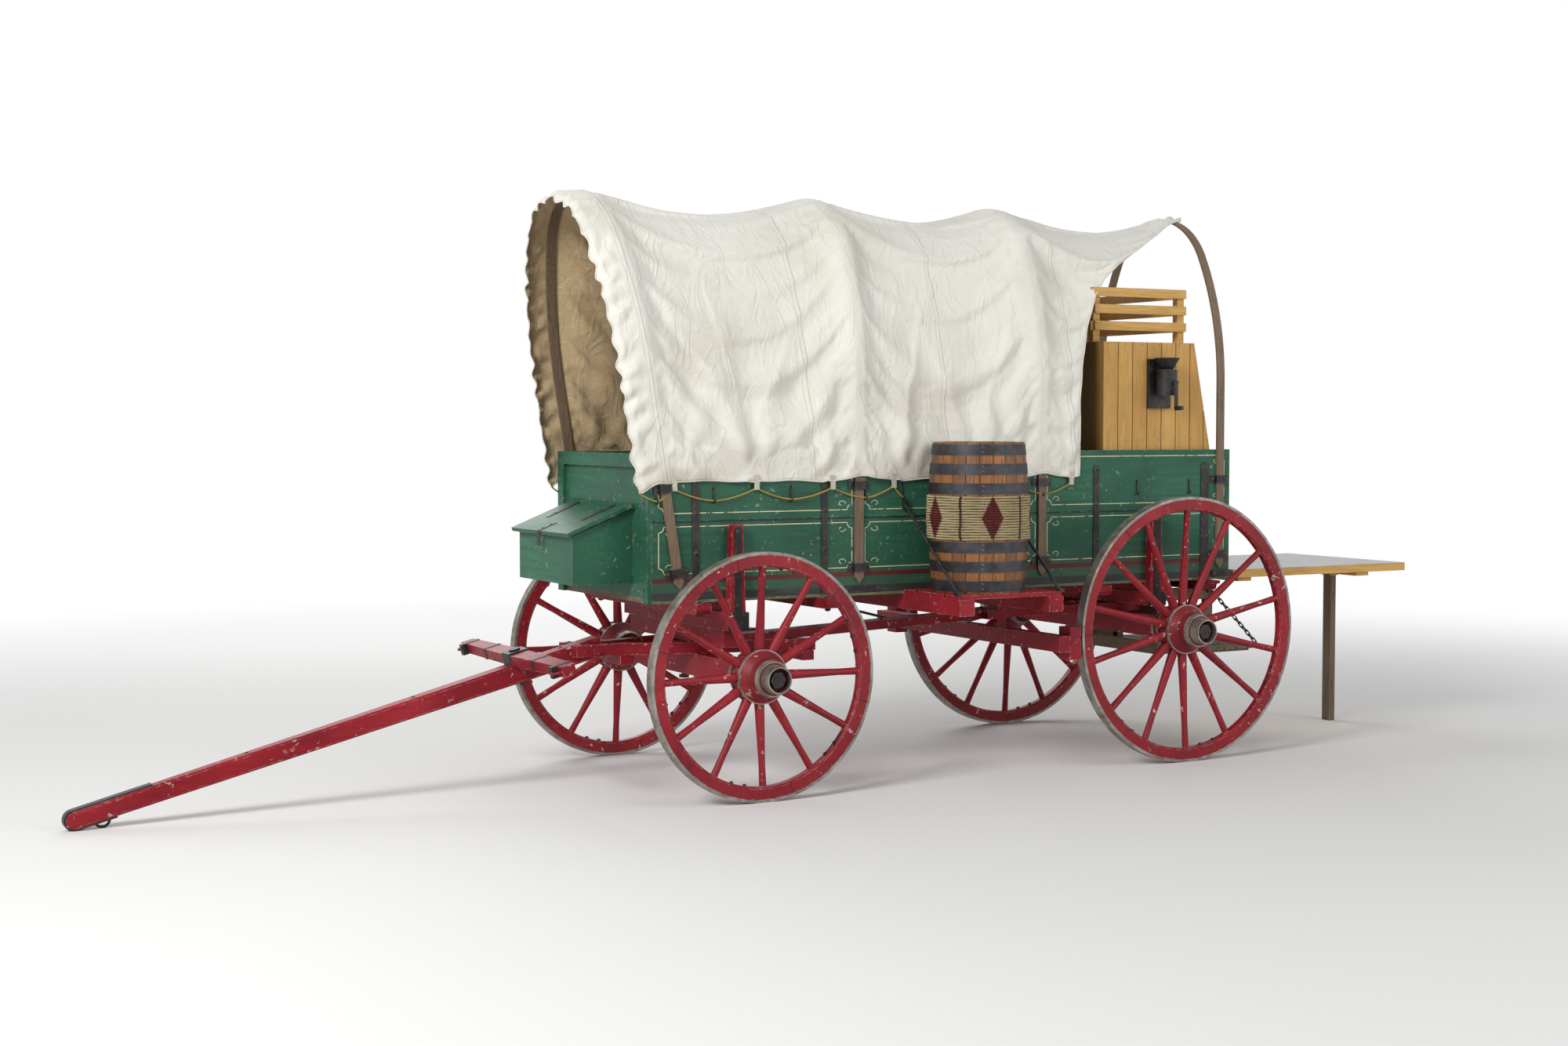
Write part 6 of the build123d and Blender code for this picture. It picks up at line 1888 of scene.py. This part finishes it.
@dataclass
class Barrel:
    """The water barrel: staves, hoops with their rivets, and the woven cord band."""

    centre: Flat = field(init=False)
    base: float = field(init=False)
    height: float = field(init=False)
    staves: int = 22
    bilge: float = 0.235
    end: float = 0.214
    wall: float = 0.024
    groove: float = 0.0022
    head_drop: float = 0.026
    cords: int = 17
    diamonds: int = 5
    cord_steps: int = 360
    head_boards: int = 6
    board_gap: float = 0.0012
    rivet: float = 0.006
    rivet_shares: Flat = (0.28, 0.72)
    lap_turn: float = -math.pi / 2 - 0.5
    hoop_reach: float = 0.06
    hoop_proud: float = 0.0035
    cord_proud: float = 0.0050

    def __post_init__(self) -> None:
        """Finds the barrel's place from its node."""
        low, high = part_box("barrel")
        self.centre = ((low.x + high.x) / 2, (low.y + high.y) / 2)
        self.base = low.z
        self.height = high.z - low.z

    def around(self, reach: float, turn: float) -> Flat:
        """The place (x, y) at a distance and an angle from the barrel's axis."""
        return self.centre[0] + reach * math.cos(turn), self.centre[1] + reach * math.sin(turn)

    def radius_at(self, level: float) -> float:
        """The barrel's outer radius.

        Args:
            level: The height above its base.

        Returns:
            The radius there.
        """
        rise = self.bilge - self.end
        half = self.height / 2
        arc = (half**2 + rise**2) / (2 * rise)
        return self.bilge - arc + math.sqrt(arc**2 - (level - half) ** 2)

    def stave_mesh(self) -> Mesh:
        """One stave, bulged and bevelled.

        Returns:
            Its mesh, at the angle 0 about the z axis.
        """
        form = Form()
        half = math.pi / self.staves
        edge = half - 0.0012
        rows = []
        for step in range(15):
            level = self.height * step / 14
            outer = self.radius_at(level)
            inner = outer - self.wall
            bevel = self.groove / outer
            corners = (
                (-edge, outer - 0.004), (-half + bevel + 0.001, outer), (-half / 3, outer + 0.0004),
                (half / 3, outer + 0.0004), (half - bevel - 0.001, outer), (edge, outer - 0.004),
                (edge, inner), (-edge, inner),
            )
            rows.append([(reach * math.cos(turn), reach * math.sin(turn), level) for turn, reach in corners])
        form.strip(rows)
        return form.mesh("stave")

    def stave_recipe(self) -> Recipe:
        """Sets the stave round the barrel's axis, each copy with a random tone.

        Returns:
            The tree.
        """
        recipe = Recipe(
            "staves_round_the_axis",
            {"Count": ("Int", self.staves), "Centre": ("Vector", (0.0, 0.0, 0.0)), "Seed": ("Int", SEED)},
        )
        spots = recipe.value("GeometryNodePoints", {"Count": recipe.given("Count")})
        step = recipe.math("DIVIDE", math.tau, recipe.given("Count"))
        turn = recipe.value("ShaderNodeCombineXYZ", {2: recipe.value("GeometryNodeInputIndex") * step})
        euler = recipe.value("FunctionNodeEulerToRotation", {0: turn})
        placed = recipe.value(
            "GeometryNodeInstanceOnPoints",
            {"Points": spots, "Instance": recipe.given("Geometry"), "Rotation": euler},
        )
        tone = recipe.node("FunctionNodeRandomValue", {"Seed": recipe.given("Seed")}, data_type="FLOAT")
        value = next(output for output in tone.outputs if output.enabled)
        named = {0: placed, "Name": "stave_tone"}
        kept = recipe.node("GeometryNodeStoreNamedAttribute", named, data_type="FLOAT", domain="INSTANCE")
        slot = next(socket for socket in kept.inputs if socket.enabled and socket.name == "Value")
        recipe.tree.links.new(value, slot)
        recipe.close(recipe.shifted(kept.outputs[0], recipe.given("Centre")))
        return recipe

    def build(self) -> None:
        """Makes the staves, the heads, the hoops' rivets and the band."""
        centre = (*self.centre, self.base)
        staves = self.stave_recipe().apply(
            self.stave_mesh(), "barrel_staves", StaveOak(), Count=self.staves, Centre=centre, Seed=SEED
        )
        made = piece("barrel_staves", staves, None, "wagon")
        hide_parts("barrel")
        self.heads()
        dress(HOOP_IRON, "barrel_hoops")
        self.hoop_rivets()
        self.cord_band()
        dress(GEAR_RED, "barrel_shelf")
        dress(BLACK_IRON, "barrel_rods")

    def heads(self) -> None:
        """The recessed head and the bottom, of boards side by side."""
        form = Form()
        inside = self.end - self.wall + 0.001
        pitch = 2 * inside / self.head_boards
        top = self.height - self.head_drop
        for low, high in ((top - 0.018, top), (0.006, 0.024)):
            for board in range(self.head_boards):
                start = -inside + board * pitch + self.board_gap / 2
                across = np.linspace(start, start + pitch - self.board_gap, 9)
                edge = [(math.sqrt(max(0.0, inside**2 - y**2)), y) for y in across]
                loop = edge + [(-x, y) for x, y in reversed(edge)]
                rows = [
                    [(self.centre[0] + x, self.centre[1] + y, self.base + z) for x, y in loop]
                    for z in (low, high)
                ]
                form.strip(rows)
        form.piece("barrel_heads", BARREL_OAK, "wagon", "barrel_oak")

    def hoop_rivets(self) -> None:
        """Two rivets on each hoop's lap."""
        rows = []
        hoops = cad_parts["barrel_hoops"].data
        heights = sorted({round(vertex.co.z, 3) for vertex in hoops.vertices})
        bands: list[list[float]] = []
        for z in heights:
            if bands and z - bands[-1][0] < self.hoop_reach:
                bands[-1].append(z)
            else:
                bands.append([z])
        way = (math.cos(self.lap_turn), math.sin(self.lap_turn))
        for band in bands:
            for share in self.rivet_shares:
                z = band[0] + (band[-1] - band[0]) * share
                reach = self.radius_at(z - self.base) + self.hoop_proud
                rows.append(((*self.around(reach, self.lap_turn), z), (*way, 0.0), self.rivet))
        FASTENERS.add("wagon", "hoop_rivets", rows, finish=HOOP_IRON, slot="hoop_iron")

    def cord_tone(self, turn: float, share: float) -> Colour:
        """The colour of the band's cords: diamonds on plain cord, and two lacings.

        Args:
            turn: The angle round the barrel.
            share: The height, as a share of the band's.

        Returns:
            The colour there.
        """
        around = (turn / math.tau * self.diamonds) % 1.0
        off = abs(around - 0.5) * 2
        height = abs(share - 0.5) * 2
        reach = off * 2.9 + height
        if reach < 1.02:
            knots = int(share * self.cords) + int(turn * 40)
            return Paint.MAROON.value if knots % 2 else colour(120, 36, 52)
        if off > 0.955:
            return colour(60, 44, 38)
        return Paint.CORD.value

    def cord_band(self) -> None:
        """The band: cords side by side round the staves, dyed in diamonds, with two lacings."""
        low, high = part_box("barrel_wrap")
        pitch = (high.z - low.z) / self.cords
        paths = []
        for row in range(self.cords):
            z = low.z + pitch * (row + 0.5)
            path = []
            for step in range(self.cord_steps + 1):
                turn = math.tau * (step % self.cord_steps) / self.cord_steps
                wave = 0.0010 * math.sin(3 * turn + row * 0.7) + 0.0006 * math.sin(11 * turn + row * 2.1)
                reach = self.radius_at(z - self.base) + self.cord_proud
                path.append((*self.around(reach, turn), z + wave))
            paths.append(path)
        mesh = ROPES.along(
            paths, "woven_cord_band", WOVEN_CORD, pitch * 0.47, Lay=330.0, Step=0.0062, Depth=0.12
        )
        tones = mesh.attributes.new("cord_tone", "FLOAT_COLOR", "POINT")
        values = []
        for vertex in mesh.vertices:
            turn = math.atan2(vertex.co.y - self.centre[1], vertex.co.x - self.centre[0]) % math.tau
            values.extend((*self.cord_tone(turn, (vertex.co.z - low.z) / (high.z - low.z)), 1.0))
        tones.data.foreach_set("color", values)
        made = piece("woven_cord_band", mesh, None, "wagon")
        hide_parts("barrel_wrap")


@dataclass
class Kitchen:
    """The chuck box, its rack, the coffee mill, the table and its leg."""

    nail: float = 0.0035
    nails: int = 7
    nail_ends: Flat = (0.03, 0.14)
    nail_levels: Flat = (0.70, 0.012)
    tack: float = 0.0038
    tack_rows: int = 19
    tack_columns: int = 12
    tack_margins: Flat = (0.015, 0.012)
    tack_half: float = 0.40

    def build(self) -> None:
        """Dresses the kitchen's nodes."""
        dress(PINE_BOARDS, "chuck_box")
        dress(PINE_ACROSS, "chuck_shelves")
        dress(PINE_ALONG, "crows_nest", "table")
        dress(BLACK_IRON, "coffee_mill")
        dress(ZINC, "table_sheet")
        dress(GREY_UPRIGHT, "table_leg")
        rows = []
        low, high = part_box("chuck_box")
        for side in (LEFT, RIGHT):
            for x in np.linspace(low.x + self.nail_ends[0], high.x - self.nail_ends[1], self.nails):
                for z in (low.z + self.nail_levels[0], high.z - self.nail_levels[1]):
                    found = cast("chuck_box", (float(x), float(side), z), (0.0, -float(side), 0.0))
                    if found:
                        rows.append((*found, self.nail))
        FASTENERS.add("wagon", "chuck_box_nails", rows, Head.NAIL)
        low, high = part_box("table_sheet")
        along, across = self.tack_margins
        near, far = low.x + along, high.x - along
        sides = (low.y + across, high.y - across)
        around = [(x, y) for x in np.linspace(near, far, self.tack_rows) for y in sides]
        ends = np.linspace(-self.tack_half, self.tack_half, self.tack_columns)
        around += [(x, y) for x in (near, far) for y in ends]
        tacks = [((float(x), float(y), high.z), UP, self.tack) for x, y in around]
        FASTENERS.add("table", "table_tacks", tacks, Head.NAIL, ZINC, "zinc")


@dataclass
class Stores:
    """The jockey box and its lid, and the slatted boot with its door and chains."""

    wire: float = 0.0034
    link_half: float = 0.0115
    link_wide: float = 0.0080
    pitch: float = 0.0305
    inward: float = 0.0073
    end_gap: float = 0.010
    strap_half: float = 0.017
    strap_thick: float = 0.003
    bolt: float = 0.0075
    lid_straps: tuple[Point, ...] = ((-0.20, 0.035, 0.20), (0.20, 0.035, 0.20), (0.0, 0.245, 0.325))
    door_straps: Flat = (-0.26, 0.26)
    door_half: float = 0.016

    def link_recipe(self) -> Recipe:
        """Sets a long round link on each point, turned as the point says.

        Returns:
            The tree.
        """
        recipe = Recipe(
            "chain_links",
            {"Wire": ("Float", self.wire), "Half Length": ("Float", self.link_half),
             "Radius": ("Float", self.link_wide)},
        )
        apart = recipe.value("ShaderNodeSeparateXYZ", {0: recipe.value("GeometryNodeInputPosition")})
        moved = recipe.math("SIGN", apart) * recipe.given("Half Length")
        offset = recipe.value("ShaderNodeCombineXYZ", {0: moved})
        ring = recipe.ring(20, recipe.given("Radius"))
        long_ring = recipe.value("GeometryNodeSetPosition", {0: ring, "Offset": offset})
        link = recipe.swept(long_ring, recipe.ring(7, recipe.given("Wire")))
        euler = recipe.value("FunctionNodeEulerToRotation", {0: recipe.attribute("turn", "FLOAT_VECTOR")})
        placed = recipe.value(
            "GeometryNodeInstanceOnPoints",
            {"Points": recipe.given("Geometry"), "Instance": link, "Rotation": euler},
        )
        recipe.close(placed)
        return recipe

    def chains(self) -> None:
        """Round links along each chain, each turned a quarter from the one before."""
        low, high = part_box("boot_chains")
        start = Vector((low.x + self.end_gap, 0.0, high.z - self.end_gap))
        run = Vector((high.x - self.end_gap, 0.0, low.z + self.end_gap)) - start
        count = round(run.length / self.pitch)
        fall = math.atan2(-run.z, run.x)
        spots, turns = [], []
        for side in (LEFT, RIGHT):
            for index in range(count):
                spot = start + run * ((index + 0.5) / count)
                spots.append((spot.x, side * (high.y - self.inward), spot.z))
                turns.append((0.0 if index % 2 else math.pi / 2, fall, 0.0))
        mesh = self.link_recipe().apply(
            point_cloud(spots, {"turn": turns}, {}), "boot_chain_links", BLACK_IRON, Wire=self.wire,
            Half_Length=self.link_half, Radius=self.link_wide,
        )
        made = piece("boot_chain_links", mesh, None, "boot_chains")
        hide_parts("boot_chains")

    def build(self) -> None:
        """Dresses the stores' nodes and sets chains and hinges."""
        dress(BOX_GREEN_ACROSS, "jockey_box", "jockey_lid")
        dress(GREY_ACROSS, "boot", "boot_door")
        self.chains()
        self.lid_irons()
        self.door_irons()

    def lid_irons(self) -> None:
        """Strap hinges with their bolts on the jockey box's lid, and its hasp."""
        form = Form()
        low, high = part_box("jockey_lid")
        bolts: list[HeadRow] = []
        for y, near, far in self.lid_straps:
            starts = [(high.x - step, y, high.z + 0.2) for step in np.linspace(near, far, 5)]
            path = list(filter(None, [cast("jockey_lid", start, DOWN) for start in starts]))
            facing = path[2][1]
            form.strap([spot for spot, _ in path], facing, self.strap_half, self.strap_thick)
            for spot, _ in path[1:-1:2]:
                bolts.append((tuple(Vector(spot) + Vector(facing) * self.strap_thick), facing, self.bolt))
        found = cast("jockey_lid", (low.x - 0.2, 0.0, low.z + 0.010), (1.0, 0.0, 0.0))
        edge = found[0][0] if found else low.x
        form.block((edge - 0.0035, -self.strap_half, low.z - 0.052), (edge, self.strap_half, low.z + 0.016))
        form.piece("jockey_lid_irons", BLACK_IRON, "jockey_lid", "black_iron")
        FASTENERS.add("jockey_lid", "jockey_lid_bolts", bolts)

    def door_irons(self) -> None:
        """Strap hinges with their bolts on the boot's door."""
        form = Form()
        low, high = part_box("boot_door")
        bolts: list[HeadRow] = []
        for y in self.door_straps:
            starts = [(low.x + step, y, high.z + 0.2) for step in (0.05, 0.15, 0.25)]
            path = [found[0] for found in (cast("boot_door", start, DOWN) for start in starts) if found]
            level = path[0][2]
            form.strap([(spot[0], y, level) for spot in path], UP, self.door_half, self.strap_thick)
            bolts += [((spot[0], y, level + self.strap_thick), UP, self.bolt) for spot in path[:2]]
        form.piece("boot_door_irons", BLACK_IRON, "boot_door", "black_iron")
        FASTENERS.add("boot_door", "boot_door_bolts", bolts)


@dataclass
class Brake:
    """The brake: red beam and blocks, iron lever, rod and brackets."""

    def build(self) -> None:
        """Dresses the brake's nodes."""
        dress(GEAR_RED_ACROSS, "brake_beam")
        dress(BLACK_IRON, "brake_brackets", "brake_lever", "brake_rod")


@dataclass
class Studio:
    """The floor, the plain light and the camera."""

    azimuth: float = -29.0
    height: float = 1.70
    distance: float = 10.6
    lens: float = 50.0
    aim: Point = (-0.12, 0.0, 1.20)
    fade: Flat = (3.8, 11.0)
    lamps: tuple[tuple[str, Point, float, float], ...] = (
        ("key_lamp", (-8.5, -4.6, 6.6), 3.2, 760.0),
        ("fill_lamp", (5.0, -8.5, 4.0), 6.0, 260.0),
        ("back_lamp", (1.0, 8.0, 6.0), 6.0, 330.0),
    )
    sky: Colour = (0.93, 0.96, 1.0)
    sky_strength: float = 0.34
    white: Colour = (1.0, 1.0, 1.0)

    def build(self) -> None:
        """Makes all of it."""
        self.camera()
        self.lights()
        self.floor()

    def camera(self) -> None:
        """A camera at eye height, off the wagon's front left corner."""
        lens = bpy.data.cameras.new("camera")
        lens.lens = self.lens
        lens.sensor_width = 36.0
        lens.clip_end = 200.0
        made = linked("camera", lens)
        turn = math.radians(self.azimuth)
        back = Vector((math.sin(turn), -math.cos(turn), 0.0)) * self.distance
        made.location = Vector((self.aim[0] + back.x, self.aim[1] + back.y, self.height))
        made.rotation_euler = (Vector(self.aim) - made.location).to_track_quat("-Z", "Y").to_euler()
        bpy.context.scene.camera = made

    def lights(self) -> None:
        """A large soft lamp ahead and to the left, a weaker one behind, and an even world."""
        for name, place, size, power in self.lamps:
            lamp = bpy.data.lights.new(name, "AREA")
            lamp.energy = power
            lamp.size = size
            made = linked(name, lamp)
            made.location = place
            made.rotation_euler = (Vector(UP) - Vector(place)).to_track_quat("-Z", "Y").to_euler()
        world = bpy.data.worlds.new("world")
        bpy.context.scene.world = world
        world.use_nodes = True
        world.node_tree.nodes.clear()
        tree = NodeTree(world.node_tree)
        soft = tree.value("ShaderNodeBackground", {0: (*self.sky, 1.0), 1: self.sky_strength})
        white = tree.value("ShaderNodeBackground", {0: (*self.white, 1.0), 1: 1.0})
        blend = tree.value("ShaderNodeMixShader", {0: tree.clear_sight(), 1: soft, 2: white})
        tree.node("ShaderNodeOutputWorld", {0: blend})

    def floor(self) -> None:
        """A wide pale floor with a soft tooth, which fades to the white behind it."""
        form = Form()
        form.block((-60.0, -60.0, -0.05), (60.0, 60.0, 0.0))
        made = linked("floor", form.mesh("floor"))
        shader = Shader("floor_pale")
        tooth = shader.noise(40.0, 4.0)
        base = shader.mix(tooth, (0.80, 0.79, 0.77), (0.84, 0.83, 0.81))
        made.data.materials.append(shader.finish(base, 0.9, tooth, 0.0005))
        surface = next(node for node in shader.tree.nodes if node.type == "BSDF_PRINCIPLED")
        out = next(node for node in shader.tree.nodes if node.type == "OUTPUT_MATERIAL")
        reach = shader.value("ShaderNodeVectorMath", {0: shader.place}, "Value", operation="LENGTH")
        far = shader.ramp(reach, *self.fade) * shader.clear_sight()
        white = shader.value("ShaderNodeEmission", {0: (*self.white, 1.0), 1: 1.0})
        blend = shader.value("ShaderNodeMixShader", {0: far, 1: surface.outputs[0], 2: white})
        shader.tree.links.new(blend.socket, out.inputs[0])


def main() -> None:
    """Builds the scene, sub-assembly by sub-assembly."""
    logging.basicConfig(level=logging.INFO, format="%(name)s: %(message)s")
    bpy.context.scene.view_settings.view_transform = "Standard"
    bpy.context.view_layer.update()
    for assembly in (
        Studio(), Bonnet(), Wheels(), RunningGear(), WagonBox(), Barrel(), Kitchen(), Stores(), Brake(),
        FASTENERS,
    ):
        assembly.build()


if __name__ == "__main__":
    main()
